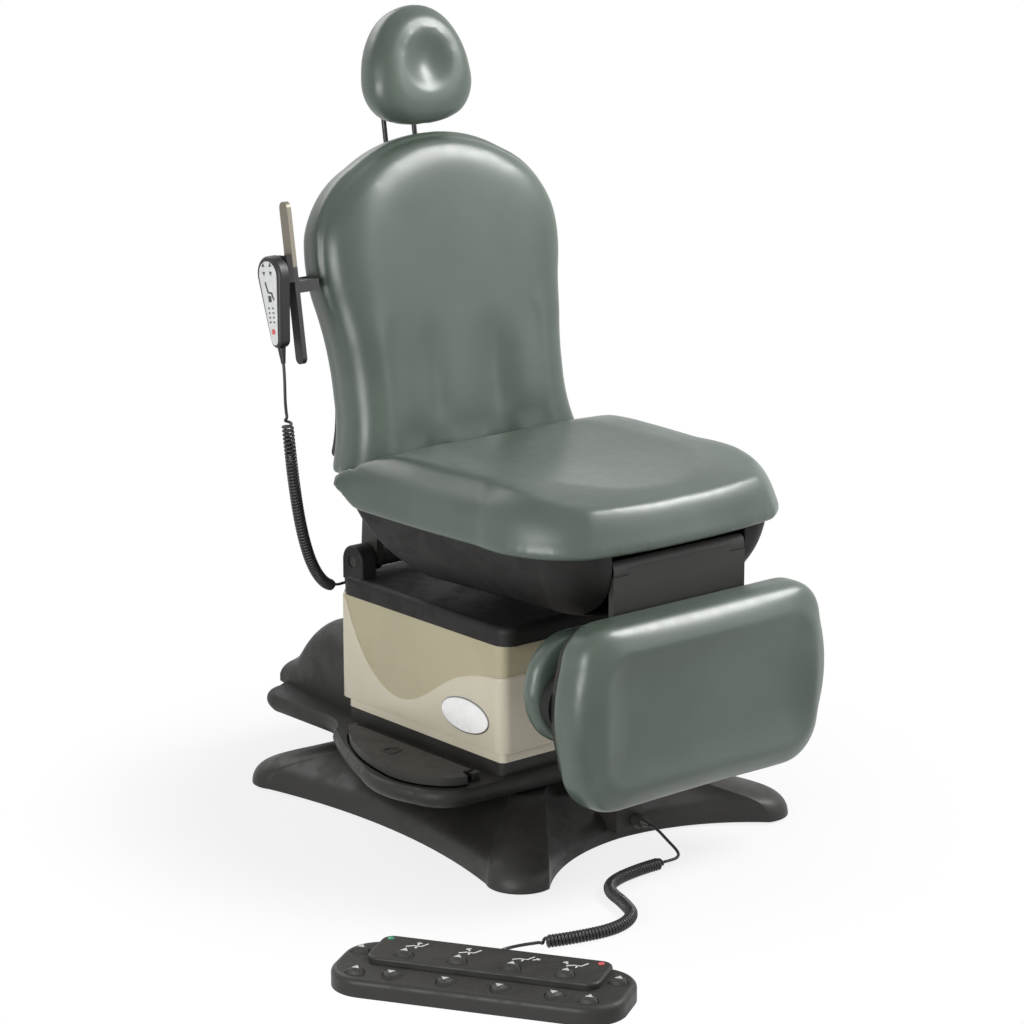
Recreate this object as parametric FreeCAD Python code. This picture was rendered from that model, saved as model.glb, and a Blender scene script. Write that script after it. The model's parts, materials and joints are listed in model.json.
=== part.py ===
"""Powered procedure chair: pedestal base, turntable, telescoping lift, tilting seat, reclining back,
raising foot section with a sliding extension, headrest, handset and floor-standing foot control.

Millimetres. +Z is up, the chair faces -Y and the patient's right is -X.
The origin lies on the floor under the turntable's axis.
"""
import FreeCAD, Part
import math
import os

V = FreeCAD.Vector
X_AXIS = V(1, 0, 0)
Y_AXIS = V(0, 1, 0)
Z_AXIS = V(0, 0, 1)

# Clearances
RUN_GAP = 0.1          # a shaft or pin in its bore, on the radius
SLIDE_GAP = 0.5        # a tube or shroud in the next one, on each side
SOFT_GAP = 4.0         # between two cushions
FIT_GAP = 0.3          # a piece let into a cover

# Pedestal base
LEVEL_FOOT_R = 22.0
LEVEL_FOOT_H = 12.0
FRAME_T = 18.0         # base frame bars and hub plate
FRAME_BAR_W = 44.0
HUB_R = 160.0
BASE_TIP_X = 296.0     # half the width over the feet
BASE_FRONT_Y = 368.0   # how far the front feet reach
BASE_REAR_Y = 350.0
BASE_WAIST_X = 250.0   # half the width between the feet
BASE_FRONT_WAIST = 264.0
BASE_REAR_WAIST = 252.0
BASE_SKIRT_Z = 3.0     # gap under the base cover
BASE_TOP_Z = 90.0
BASE_WALL = 6.0
SLEW_R = 150.0
SLEW_BORE_R = 100.0
SLEW_H = 64.0

# Turntable and deck
PLATE_R = 196.0
PLATE_T = 14.0
SPIGOT_H = 34.0
DECK_LIFT = 4.0        # deck cover's lower edge above the plate's underside
DECK_H = 28.0
DECK_WALL = 5.0
DECK_TAIL_Y = 445.0
DECK_TAIL_X = 208.0
DECK_WING_X = 336.0
DECK_FRONT_Y = 212.0
DECK_UNDERCUT = 9.0    # how far the deck's lower edge draws in
PLINTH_H = 21.0
PLINTH_WALL = 9.0
HUMP_X = 162.0
HUMP_H = 128.0
HUMP_WALL = 5.0
PEDAL_T = 13.0
PEDAL_DROP = 11.0      # depth of the pocket under a brake pedal
PEDAL_GAP = 3.0
PEDAL_PIVOT_R = 4.0
PEDAL_EAR = 11.0
INLET_W = 48.0
INLET_H = 23.0
INLET_D = 30.0
INLET_X = 62.0
INLET_SET = 4.0        # inlet's face inside the deck's rear edge

# Lift
SHROUD_X = 190.0       # half sizes of the upper shroud
SHROUD_Y = 202.0
SHROUD_WALL = 3.0
SHROUD_R = 16.0
SHROUD_H = 174.0
SHROUD_REVEAL = 17.0   # how far the lower shroud shows below the upper one
COLUMN_HALF = 85.0
COLUMN_WALL = 6.0
COLUMN_TOP_DROP = 9.0  # lower column's top below the lower shroud's top
FLANGE_T = 4.0
MOTOR_R = 34.0
MOTOR_H = 120.0
MOTOR_Y = 130.0
TOP_COVER_H = 31.0
TOP_COVER_OVER = 4.0   # how far the top cover stands out past the shroud
TOP_COVER_FRONT = 8.0  # and how much further at the front
TOP_COVER_ROOF = 8.0
TOP_COVER_WALL = 10.0
TOP_COVER_EDGE = 11.0

# Tilt
TILT_Y = 174.0
TILT_RISE = 24.0       # tilt axis above the top cover
TILT_SHAFT_R = 10.0
UPRIGHT_X0 = 160.0
UPRIGHT_T = 28.0
UPRIGHT_R = 26.0
TILT_ROD_Y = -140.0
TILT_ROD_R = 11.0
TILT_CYL_R = 30.0
TILT_PIN_R = 7.0
TILT_PIN_RISE = 37.0   # tilt rod's pin above the tilt axis
TILT_SLOT_FRONT = 59.0
TILT_SLOT_BACK = 13.0
TILT_SLOT_PLAY = 4.2

# Seat
PAN_RISE = 33.0        # pan's underside above the top cover
PAN_H = 110.0
PAN_WALL = 4.0
PAN_TOP_X = 245.0
PAN_LOW_X = 168.0
PAN_FRONT_Y = 392.0
PAN_REAR_Y = 110.0
SEAT_HALF = 272.0
SEAT_FRONT_Y = 420.0
SEAT_REAR_Y = 139.0   # the cushion's rear ears
SEAT_T = 92.0
SEAT_ROLL_Y = 60.0     # where the edge rolls leave the length as it is
SEAT_REAR_CROWN_Y = -20.0
SEAT_REAR_CROWN_R = 250.0
SEAT_FRONT_CROWN_Y = -200.0
SEAT_FRONT_CROWN_R = 900.0
SEAT_DISH = 14.0
SEAT_DISH_R = 900.0
RAIL_X0 = 110.0
RAIL_W = 30.0
RAIL_H = 40.0
RAIL_DROP = 32.0       # rail's top below the cushion
RAIL_FRONT_Y = 340.0
RAIL_REAR_Y = 190.0
SIDE_PLATE_T = 14.0
CROSS_T = 10.0
ACTUATOR_X = 46.0
ACTUATOR_R = 20.0
ACTUATOR_ROD_R = 8.0

# Back
BACK_LEAN = 9.0
BACK_Y = 130.0         # foot of the back's middle plane
BACK_RISE = 36.0       # and its height above the underside of the seat cushion
BACK_LENGTH = 522.0
BACK_HALF = 247.0
BACK_WAIST = 218.0
BACK_FOOT = 236.0      # half the width at the lower edge
BACK_ROLL_V = 60.0     # where the edge rolls leave the length as it is
BACK_T = 98.0
BACK_DISH = 15.0
BACK_DISH_R = 950.0
BACK_PANEL_T = 9.0
BACK_HINGE_Y = 165.0
BACK_HINGE_DROP = 12.0 # hinge below the underside of the seat cushion
BACK_SHAFT_R = 9.0
BACK_ARM_T = 12.0
BACK_CRANK = 50.0
BACK_CRANK_ANGLE = 40.0
CRANK_T = 10.0
CRANK_PIN_R = 5.0
FORK_CHEEK = 6.0
FORK_PLAY = 2.2
LUMBAR_X = 62.0
LUMBAR_R = 90.0
LUMBAR_DEPTH = 5.0

# Headrest
HEAD_HALF = 101.0
HEAD_H = 193.0
HEAD_T = 76.0
HEAD_GAP = 9.0         # above the back cushion
HEAD_SET_BACK = 8.0
HEAD_DISH_R = 95.0
HEAD_DISH = 15.0
HEAD_ROD_X = 30.0
HEAD_ROD_R = 4.0
HEAD_ROD_L = 285.0
HEAD_PIVOT_V = BACK_LENGTH + 74
HEAD_PIN_R = 3.5
GUIDE_V0 = BACK_LENGTH - 88
GUIDE_L = 50.0
GUIDE_T = 23.0

# Accessory rail and handset
RAIL_BAR_X = 296.0
RAIL_BAR_T = 8.0
RAIL_BAR_W = 20.0
RAIL_BAR_V0 = 188.0
RAIL_BAR_L = 252.0
RAIL_BAR_N = 12.0
STRAP_X = 256.0
STRAP_T = 10.0
STRAP_V0 = 298.0
STRAP_W = 18.0
CRADLE_T = 10.7
CRADLE_V0 = 316.0
CRADLE_L = 42.0
HANDSET_T = 22.0
HANDSET_HEAD_R = 30.0
HANDSET_TAIL_R = 13.0
HANDSET_HEAD_V = 330.0
HANDSET_TAIL_V = 230.0
HANDSET_N = -1.0
HANDSET_EDGE = 5.0
PEG_R = 6.0
PEG_V = 340.0
RELIEF_L = 25.0
RELIEF_R = 6.5

# Foot section
FOOT_HINGE_Y = 371.5
FOOT_HINGE_DROP = 28.5
FOOT_SHAFT_R = 6.0
FOOT_SHAFT_HALF = 124.0
FOOT_LUG_R = 8.0
FOOT_CRANK = 45.0
FOOT_CRANK_ANGLE = 45.0
FOOT_PANEL_HALF = 134.0
FOOT_PANEL_T = 11.0
FOOT_PANEL_LOW = 300.0
FOOT_PAD_N = 394.0     # back of the foot cushion, forward of the turntable's axis
FOOT_PAD_T = 74.0
FOOT_HALF = 262.0
FOOT_BULGE = 13.0      # how far the sides swell between the corners
FOOT_LOW = 130.0
FOOT_HIGH = 428.0
FOOT_TOP_R = 60.0
FOOT_LOW_R = 75.0
FOOT_SHELL_T = 18.0
FOOT_SHELL_IN = 22.0
EXT_HALF = 256.0
EXT_BULGE = 3.0
EXT_LOW = 214.0
EXT_HIGH = 396.0
EXT_R = 84.0
EXT_T = 42.0
EXT_ROD_X = 88.0
EXT_ROD_R = 7.0
EXT_ROD_TOP = 452.0
EXT_BAR_H = 16.0
EXT_BAR_LOW = 246.0
EXT_GUIDE_LOW = 290.0
EXT_GUIDE_H = 82.0
EXT_GUIDE_D = 22.0

# Foot control
CONTROL_X = -556.0
CONTROL_Y = -600.0
CONTROL_TURN = -58.0
CONTROL_L = 430.0
CONTROL_D = 154.0
CONTROL_R = 56.0
CONTROL_H = 27.0
CONTROL_EDGE = 9.0
CONTROL_WALL = 5.0
TIER_L = 342.0
TIER_REAR = 74.0
TIER_FRONT = -15.0
TIER_R = 18.0
TIER_H = 10.0
TIER_EDGE = 4.0
BUTTON_PITCH = 79.0
BUTTON_UP_Y = 8.0
BUTTON_DOWN_Y = -50.0
BUTTON_R = 16.0
BUTTON_TOP_R = 5.0
BUTTON_H = 8.0
BUTTON_STEM_R = 6.0
BUTTON_STEM_L = 11.0
BUTTON_POCKET = 3.5
BUTTON_GAP = 1.2
SIDE_BUTTON_X = (190.0, 170.0)
SIDE_BUTTON_Y = (26.0, -50.0)
SOCKET_HALF = 26.0
SOCKET_D = 44.0
SOCKET_LOW = 22.0
SOCKET_H = 38.0
PLUG_X = 14.0
PLUG_Z = 36.0
PLUG_R = 11.0
PLUG_L = 18.0
PLUG_TAIL = 14.0

# Cords
CORD_R = 2.4
CURL_R = 7.4           # middle of the wire to the middle of the curl
FOOT_CURLS = 50
HAND_CURLS = 48

# Heights that follow from the sizes above
FRAME_TOP = LEVEL_FOOT_H + FRAME_T
PLATE_LOW = FRAME_TOP + SLEW_H
PLATE_TOP = PLATE_LOW + PLATE_T
DECK_LOW = PLATE_LOW + DECK_LIFT
DECK_TOP = DECK_LOW + DECK_H
PLINTH_TOP = DECK_TOP + PLINTH_H
SHROUD_LOW = PLINTH_TOP + SHROUD_REVEAL
SHROUD_TOP = SHROUD_LOW + SHROUD_H
ROOF_LOW = SHROUD_TOP + TOP_COVER_H - TOP_COVER_ROOF
COVER_TOP = SHROUD_TOP + TOP_COVER_H
TILT_Z = COVER_TOP + TILT_RISE
PAN_LOW = COVER_TOP + PAN_RISE
SEAT_LOW = PAN_LOW + PAN_H
SEAT_TOP = SEAT_LOW + SEAT_T
RAIL_TOP = SEAT_LOW - RAIL_DROP
RAIL_LOW = RAIL_TOP - RAIL_H
BACK_HINGE_Z = SEAT_LOW - BACK_HINGE_DROP
FOOT_HINGE_Z = SEAT_LOW - FOOT_HINGE_DROP
BACK_Z = SEAT_LOW + BACK_RISE
SHROUD_STEP = SHROUD_WALL + SLIDE_GAP
COLUMN_STEP = COLUMN_WALL + SLIDE_GAP
PLATE_X0 = RAIL_X0 + RAIL_W
PLATE_X1 = PLATE_X0 + SIDE_PLATE_T

# The back's own frame: x across, v up along the back, n forward out of its middle plane
BACK_PLACE = FreeCAD.Placement(V(0, BACK_Y, BACK_Z), FreeCAD.Rotation(X_AXIS, 90 - BACK_LEAN))
# The foot section's frame: x across, v up, n forward of the turntable's axis
FOOT_PLACE = FreeCAD.Placement(V(0, 0, 0), FreeCAD.Rotation(X_AXIS, 90))
# The foot control's frame: x along it, y towards the chair
CONTROL_PLACE = FreeCAD.Placement(V(CONTROL_X, CONTROL_Y, 0), FreeCAD.Rotation(Z_AXIS, CONTROL_TURN))


def box(x0, x1, y0, y1, z0, z1):
    return Part.makeBox(x1 - x0, y1 - y0, z1 - z0, V(x0, y0, z0))


def rod(start, end, radius):
    along = end.sub(start)
    return Part.makeCylinder(radius, along.Length, start, along)


def cone(start, end, first_radius, last_radius):
    along = end.sub(start)
    return Part.makeCone(first_radius, last_radius, along.Length, start, along)


def joined(first, *others):
    return first.multiFuse(list(others)).removeSplitter()


def placed(shape, placement):
    moved = shape.copy()
    moved.Placement = placement.multiply(moved.Placement)
    return moved


def mirrored(shape):
    return shape.mirror(V(0, 0, 0), X_AXIS)


def polygon_plate(points, x0, x1):
    """A plate across x, from its (y, z) corners."""
    corners = [V(x0, y, z) for y, z in points]
    return Part.Face(Part.makePolygon(corners + corners[:1])).extrude(V(x1 - x0, 0, 0))


def capsule_plate(start, end, radius, x0, x1):
    """A plate across x with round ends about two (y, z) centres."""
    a, b = V(x0, *start), V(x0, *end)
    side = b.sub(a).cross(X_AXIS).normalize().multiply(radius)
    bar = Part.Face(Part.makePolygon([a.add(side), b.add(side), b.sub(side), a.sub(side), a.add(side)]))
    width = V(x1 - x0, 0, 0)
    ends = [Part.makeCylinder(radius, width.Length, c, X_AXIS) for c in (a, b)]
    return joined(bar.extrude(width), *ends)


def rounded_rect(half_x, y0, y1, radius, z):
    """Closed wire: a rectangle with round corners, symmetric about x = 0."""
    inner = half_x - radius
    near = radius * (1 - math.sqrt(0.5))
    points = [(0, y1), (inner, y1), ((half_x - near, y1 - near), (half_x, y1 - radius)),
              (half_x, y0 + radius), ((half_x - near, y0 + near), (inner, y0)), (0, y0)]
    return half_outline(points, 0, (half_x, half_x), 0, z)


def rounded_block(half_x, y0, y1, radius, z0, z1):
    return Part.Face(rounded_rect(half_x, y0, y1, radius, z0)).extrude(V(0, 0, z1 - z0))


def half_outline(points, centre, half, inset, level):
    """Closed wire at one level, symmetric about x = 0.

    points runs from one end of the axis to the other on the +X side. A step is an end point, or a
    pair of a middle point and an end point for an arc. inset draws the outline in towards centre.
    """
    def at(point, side):
        x, v = point
        return V(side * x * (1 - inset / half[0]), centre + (v - centre) * (1 - inset / half[1]), level)

    steps, here = [], points[0]
    for step in points[1:]:
        middle, end = step if isinstance(step[0], tuple) else (None, step)
        steps.append((here, middle, end))
        here = end
    edges = []
    for side, run in ((1, steps), (-1, [(e, m, s) for s, m, e in reversed(steps)])):
        for start, middle, end in run:
            if middle:
                curve = Part.Arc(at(start, side), at(middle, side), at(end, side))
            else:
                curve = Part.LineSegment(at(start, side), at(end, side))
            edges.append(curve.toShape())
    return Part.Wire(edges)


def pad(points, centre, half, levels):
    """A cushion: its outline lofted through levels of (height, inset)."""
    return Part.makeLoft([half_outline(points, centre, half, d, n) for n, d in levels], True, False)


def arc_mid(cx, cy, radius, sx, sy):
    """The middle of a quarter-round corner about a centre."""
    return (cx + sx * radius * math.sqrt(0.5), cy + sy * radius * math.sqrt(0.5))


# Pedestal base

BASE_OUTLINE = [
    (0, BASE_REAR_WAIST),
    ((BASE_TIP_X * 0.43, BASE_REAR_WAIST + 26), (BASE_TIP_X - 72, BASE_REAR_Y - 8)),
    ((BASE_TIP_X - 22, BASE_REAR_Y - 14), (BASE_TIP_X - 12, BASE_REAR_Y - 72)),
    ((BASE_WAIST_X, 0), (BASE_TIP_X - 6, 84 - BASE_FRONT_Y)),
    ((BASE_TIP_X - 10, 22 - BASE_FRONT_Y), (BASE_TIP_X - 66, 6 - BASE_FRONT_Y)),
    ((BASE_TIP_X * 0.43, -BASE_FRONT_WAIST - 28), (0, -BASE_FRONT_WAIST)),
]
BASE_SIZE = (BASE_TIP_X, BASE_FRONT_Y)
# Height as a share of the rise from the skirt to the top, and how far the outline has drawn in
BASE_LEVELS = ((0, 0), (0.16, 0.006), (0.33, 0.035), (0.46, 0.10), (0.6, 0.215), (0.76, 0.35),
               (0.9, 0.45), (1, 0.5))
FEET = [(BASE_TIP_X - 52, 52 - BASE_FRONT_Y), (BASE_TIP_X - 62, BASE_REAR_Y - 58)]
FEET += [(-x, y) for x, y in FEET]


def base_loft(inset, low, top):
    rise = top - low
    wires = [half_outline(BASE_OUTLINE, 0, BASE_SIZE, inset + share * BASE_TIP_X, low + part * rise)
             for part, share in BASE_LEVELS]
    return Part.makeLoft(wires, True, False)


def socket_box(gap):
    front = -BASE_FRONT_WAIST - 20
    return box(-SOCKET_HALF - gap, SOCKET_HALF + gap, front - gap, front + SOCKET_D + gap,
               SOCKET_LOW - gap, SOCKET_LOW + SOCKET_H + gap)


def base_cover():
    shell = base_loft(0, BASE_SKIRT_Z, BASE_TOP_Z)
    shell = shell.cut(base_loft(BASE_WALL, BASE_SKIRT_Z - BASE_WALL, BASE_TOP_Z - BASE_WALL))
    shell = shell.cut(Part.makeCylinder(SLEW_R + SOFT_GAP, BASE_TOP_Z, V(0, 0, BASE_WALL)))
    shell = shell.cut(socket_box(FIT_GAP))
    posts = [Part.makeCylinder(9, BASE_TOP_Z, V(x * 0.78, y * 0.78, FRAME_TOP)) for x, y in FEET]
    inside = base_loft(BASE_WALL / 2, BASE_SKIRT_Z - BASE_WALL / 2, BASE_TOP_Z - BASE_WALL / 2)
    return joined(shell, *[post.common(inside) for post in posts])


def base_frame():
    hub = Part.makeCylinder(HUB_R, FRAME_T, V(0, 0, LEVEL_FOOT_H))
    bars = []
    for x, y in FEET:
        reach = math.hypot(x, y)
        bar = box(0, reach, -FRAME_BAR_W / 2, FRAME_BAR_W / 2, LEVEL_FOOT_H, FRAME_TOP)
        bar = bar.fuse(Part.makeCylinder(FRAME_BAR_W / 2, FRAME_T, V(reach, 0, LEVEL_FOOT_H)))
        bars.append(placed(bar, FreeCAD.Placement(V(),
                                                  FreeCAD.Rotation(Z_AXIS, math.degrees(math.atan2(y, x))))))
    return joined(hub, *bars)


def levelling_feet():
    return Part.makeCompound([Part.makeCylinder(LEVEL_FOOT_R, LEVEL_FOOT_H, V(x, y, 0)) for x, y in FEET])


def slew_ring():
    ring = Part.makeCylinder(SLEW_R, SLEW_H, V(0, 0, FRAME_TOP))
    return ring.cut(Part.makeCylinder(SLEW_BORE_R, SLEW_H, V(0, 0, FRAME_TOP)))


# Foot control

def control_buttons():
    """Name to (x, y, surface height, turn) in the foot control's frame."""
    high = CONTROL_H + TIER_H
    places = {}
    for number in range(4):
        x = (number - 1.5) * BUTTON_PITCH
        places[f"button_up_{number + 1}"] = (x, BUTTON_UP_Y, high, 90)
        places[f"button_down_{number + 1}"] = (x, BUTTON_DOWN_Y, CONTROL_H, -90)
    for side, sign in (("left", -1), ("right", 1)):
        for name, x, y in zip(("rear", "front"), SIDE_BUTTON_X, SIDE_BUTTON_Y):
            places[f"button_{side}_{name}"] = (sign * x, y, CONTROL_H, 90)
    return places


def triangle(radius, turn, z):
    """A triangle with bulging sides."""
    corners = [math.radians(turn + 120 * k) for k in range(3)]
    middles = [math.radians(turn + 60 + 120 * k) for k in range(3)]
    points = [V(radius * math.cos(a), radius * math.sin(a), z) for a in corners]
    bulge = [V(0.72 * radius * math.cos(a), 0.72 * radius * math.sin(a), z) for a in middles]
    return Part.Wire([Part.Arc(points[k], bulge[k], points[(k + 1) % 3]).toShape() for k in range(3)])


def control_button(x, y, surface, turn):
    base = surface - BUTTON_POCKET + BUTTON_POCKET * 0.8
    dome = Part.makeLoft([triangle(BUTTON_R, turn, base),
                          triangle(BUTTON_R * 0.8, turn, base + BUTTON_H * 0.6),
                          triangle(BUTTON_TOP_R, turn, base + BUTTON_H)], True, True)
    stem = Part.makeCylinder(BUTTON_STEM_R, BUTTON_STEM_L, V(0, 0, base - BUTTON_STEM_L))
    button = joined(dome, stem)
    button.translate(V(x, y, 0))
    return placed(button, CONTROL_PLACE)


def foot_control_housing():
    half, front, rear = CONTROL_L / 2, -CONTROL_D / 2, CONTROL_D / 2
    body = rounded_block(half, front, rear, CONTROL_R, 0, CONTROL_H)
    body = body.makeFillet(CONTROL_EDGE, [e for e in body.Edges if e.BoundBox.ZMin > CONTROL_H - 0.1])
    tier = rounded_block(TIER_L / 2, TIER_FRONT, TIER_REAR, TIER_R, CONTROL_H - CONTROL_WALL,
                         CONTROL_H + TIER_H)
    tier = tier.makeFillet(TIER_EDGE, [e for e in tier.Edges if e.BoundBox.ZMin > CONTROL_H + TIER_H - 0.1])
    housing = joined(body, tier)
    inner = CONTROL_WALL
    hollow = rounded_block(half - inner, front + inner, rear - inner, CONTROL_R - inner, -1,
                           CONTROL_H - 3 * inner)
    cuts = [hollow]
    for x, y, surface, turn in control_buttons().values():
        pocket = Part.Face(triangle(BUTTON_R + BUTTON_GAP, turn, surface - BUTTON_POCKET))
        pocket.translate(V(x, y, 0))
        cuts.append(pocket.extrude(V(0, 0, CONTROL_H)))
        cuts.append(Part.makeCylinder(BUTTON_STEM_R + FIT_GAP, surface + 1, V(x, y, -1)))
    return placed(housing.cut(cuts), CONTROL_PLACE)


def foot_socket():
    return socket_box(0)


def plug_end():
    return V(PLUG_X, -BASE_FRONT_WAIST - 20 - PLUG_L - PLUG_TAIL, PLUG_Z)


def foot_plug():
    tip = plug_end()
    collar = V(PLUG_X, tip.y + PLUG_TAIL, PLUG_Z)
    body = rod(V(PLUG_X, collar.y + PLUG_L, PLUG_Z), collar, PLUG_R)
    return joined(body, cone(collar, tip, PLUG_R * 0.75, CORD_R + 1))


# Turntable and deck

DECK_OUTLINE = [
    (0, DECK_TAIL_Y),
    ((DECK_TAIL_X * 0.54, DECK_TAIL_Y - 8), (DECK_TAIL_X - 39, DECK_TAIL_Y - 33)),
    ((DECK_TAIL_X - 9, DECK_TAIL_Y - 48), (DECK_TAIL_X, DECK_TAIL_Y - 80)),
    (DECK_TAIL_X - 2, 225),
    ((DECK_TAIL_X + 8, 190), (DECK_TAIL_X + 33, 160)),
    ((DECK_WING_X - 54, 80), (DECK_WING_X - 18, -10)),
    ((DECK_WING_X, -78), (DECK_WING_X - 14, 64 - DECK_FRONT_Y)),
    ((DECK_WING_X - 38, 20 - DECK_FRONT_Y), (DECK_WING_X - 76, 7 - DECK_FRONT_Y)),
    ((130, 2 - DECK_FRONT_Y), (0, -DECK_FRONT_Y)),
]
DECK_SIZE = (DECK_WING_X, DECK_TAIL_Y)
# Height as a share of the deck's, and how far the edge has drawn in
DECK_LEVELS = ((0, DECK_UNDERCUT), (0.25, 2.5), (0.5, 0), (0.82, 2), (1, 7))
PEDAL_X = DECK_WING_X - 112
PEDAL_REAR = 122.0
PEDAL_FRONT = -170.0
PEDAL_OUTLINE = [V(PEDAL_X, PEDAL_FRONT, 0), V(PEDAL_X, PEDAL_REAR, 0), V(PEDAL_X + 14, PEDAL_REAR, 0),
                 (V(PEDAL_X + 60, 46, 0), V(PEDAL_X + 89, -60, 0)),
                 (V(PEDAL_X + 89, -118, 0), V(PEDAL_X + 64, -168, 0)),
                 (V(PEDAL_X + 45, -184, 0), V(PEDAL_X + 24, -190, 0)), V(PEDAL_X + 18, PEDAL_FRONT, 0),
                 V(PEDAL_X, PEDAL_FRONT, 0)]
PEDAL_LOW = DECK_TOP + 2.0
PEDAL_AXIS_Z = PEDAL_LOW + PEDAL_PIVOT_R


def pedal_face(z):
    """The crescent of the left pedal, at a height."""
    edges = []
    here = PEDAL_OUTLINE[0]
    for step in PEDAL_OUTLINE[1:]:
        middle, end = step if isinstance(step, tuple) else (None, step)
        edges.append((Part.Arc(here, middle, end) if middle else Part.LineSegment(here, end)).toShape())
        here = end
    face = Part.Face(Part.Wire(edges))
    face.translate(V(0, 0, z))
    return face


def brake_pedal():
    """The left pedal, with its pivot moulded along the inner edge."""
    body = pedal_face(PEDAL_LOW).extrude(V(0, 0, PEDAL_T))
    pivot = rod(V(PEDAL_X, PEDAL_FRONT - PEDAL_EAR + 2, PEDAL_AXIS_Z),
                V(PEDAL_X, PEDAL_REAR + PEDAL_EAR - 2, PEDAL_AXIS_Z),
                PEDAL_PIVOT_R)
    return joined(body, pivot)


def pedal_ears():
    """The pair of ears that hold the left pedal's pivot."""
    ears = []
    for y0 in (PEDAL_REAR + SLIDE_GAP, PEDAL_FRONT - SLIDE_GAP - PEDAL_EAR):
        ear = box(PEDAL_X - 8, PEDAL_X + 8, y0, y0 + PEDAL_EAR, DECK_TOP - 1,
                  PEDAL_AXIS_Z + PEDAL_PIVOT_R + 3)
        ears.append(ear)
    return ears


def pedal_pivot_hole():
    reach = PEDAL_EAR + 2
    return rod(V(PEDAL_X, PEDAL_FRONT - reach, PEDAL_AXIS_Z), V(PEDAL_X, PEDAL_REAR + reach, PEDAL_AXIS_Z),
               PEDAL_PIVOT_R + RUN_GAP)


def hump_section(y, half, top, radius, low):
    near = radius * (1 - math.sqrt(0.5))
    right = [V(half, y, top - radius), V(half - near, y, top - near), V(half - radius, y, top)]
    left = [V(-p.x, p.y, p.z) for p in right]
    ground = [V(-half, y, low), V(half, y, low)]
    return Part.Wire([Part.LineSegment(ground[0], ground[1]).toShape(),
                      Part.LineSegment(ground[1], right[0]).toShape(),
                      Part.Arc(*right).toShape(), Part.LineSegment(right[2], left[2]).toShape(),
                      Part.Arc(left[2], left[1], left[0]).toShape(),
                      Part.LineSegment(left[0], ground[0]).toShape()])


def hump(inset):
    """The rear cover that rises behind the lift, drawn in by inset."""
    start = SHROUD_Y + 5
    # How far along the tail, share of the height, and the corner's radius
    stations = ((0, 1, 56), (0.40, 0.99, 58), (0.58, 0.87, 54), (0.69, 0.66, 44), (0.77, 0.45, 32),
                (0.86, 0.31, 22),
                (1, 0.10, 8))
    run = DECK_TAIL_Y - 2 - start
    low = DECK_TOP - DECK_WALL - 1
    wires = [hump_section(start + inset + share * (run - 2 * inset), HUMP_X - 24 * share ** 2 - inset,
                          DECK_TOP + tall * HUMP_H - inset, radius, low - inset) for share, tall,
                          radius in stations]
    return Part.makeLoft(wires, True, False)


def inlet_box(gap):
    rear = DECK_TAIL_Y - INLET_SET
    return box(INLET_X - INLET_W / 2 - gap, INLET_X + INLET_W / 2 + gap, rear - INLET_D - gap,
               rear + 40 * gap,
               DECK_LOW + 2 - gap, DECK_LOW + 2 + INLET_H + gap)


def deck_slab(inset, low, top):
    return Part.Face(half_outline(DECK_OUTLINE, 0, DECK_SIZE, inset, low)).extrude(V(0, 0, top - low))


def deck_cover():
    slab = pad(DECK_OUTLINE, 0, DECK_SIZE,
               [(DECK_LOW + share * DECK_H, inset) for share, inset in DECK_LEVELS])
    lower_x, lower_y = SHROUD_X - 2 * SHROUD_STEP, SHROUD_Y - 2 * SHROUD_STEP
    plinth = rounded_block(lower_x, -lower_y, lower_y, SHROUD_R - SHROUD_WALL, DECK_LOW + DECK_H / 2,
                           PLINTH_TOP)
    ears = pedal_ears()
    ears += [mirrored(e) for e in ears]
    cover = joined(slab, plinth, hump(0), *ears)
    roof = DECK_TOP - PEDAL_DROP - DECK_WALL
    opening = rounded_block(lower_x - PLINTH_WALL, PLINTH_WALL - lower_y, lower_y - PLINTH_WALL, 8,
                            DECK_LOW - 1, PLINTH_TOP + 1)
    pocket = deck_pocket()
    pivot = pedal_pivot_hole()
    cuts = [deck_slab(DECK_WALL + DECK_UNDERCUT, DECK_LOW - 1, roof), opening, hump_hollow(), pocket,
            mirrored(pocket), pivot, mirrored(pivot),
            inlet_box(FIT_GAP)]
    cover = cover.cut(cuts)
    reach = lower_x + 1
    bosses = [Part.makeCylinder(7, roof - PLATE_TOP + 1,
                                V(x, y, PLATE_TOP)) for x in (-reach, reach) for y in (-22, 22)]
    return joined(cover, *bosses)


def hump_hollow():
    return hump(HUMP_WALL)


def deck_pocket():
    """The room under the left pedal's crescent."""
    floor = DECK_TOP - PEDAL_DROP
    face = pedal_face(floor).makeOffset2D(PEDAL_GAP)
    return face.extrude(V(0, 0, PEDAL_DROP + PEDAL_T + 4)).cut(box(0, PEDAL_X - 2, -400, 400, 0, 400))


def turntable_plate():
    plate = Part.makeCylinder(PLATE_R, PLATE_T, V(0, 0, PLATE_LOW))
    spigot = Part.makeCylinder(SLEW_BORE_R - RUN_GAP, SPIGOT_H, V(0, 0, PLATE_LOW - SPIGOT_H))
    return joined(plate, spigot)


def power_inlet():
    body = inlet_box(0)
    middle_z = DECK_LOW + 2 + INLET_H / 2
    rear = DECK_TAIL_Y - INLET_SET
    well = box(INLET_X - 12, INLET_X + 12, rear - 17, rear + 1, middle_z - 8, middle_z + 8)
    pins = [box(INLET_X + x - 1, INLET_X + x + 1, rear - 18, rear - 10, middle_z + z - 2, middle_z + z + 2)
            for x, z in ((-7, -1.5), (0, 2.5), (7, -1.5))]
    return joined(body.cut(well), *pins)


# Lift

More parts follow.
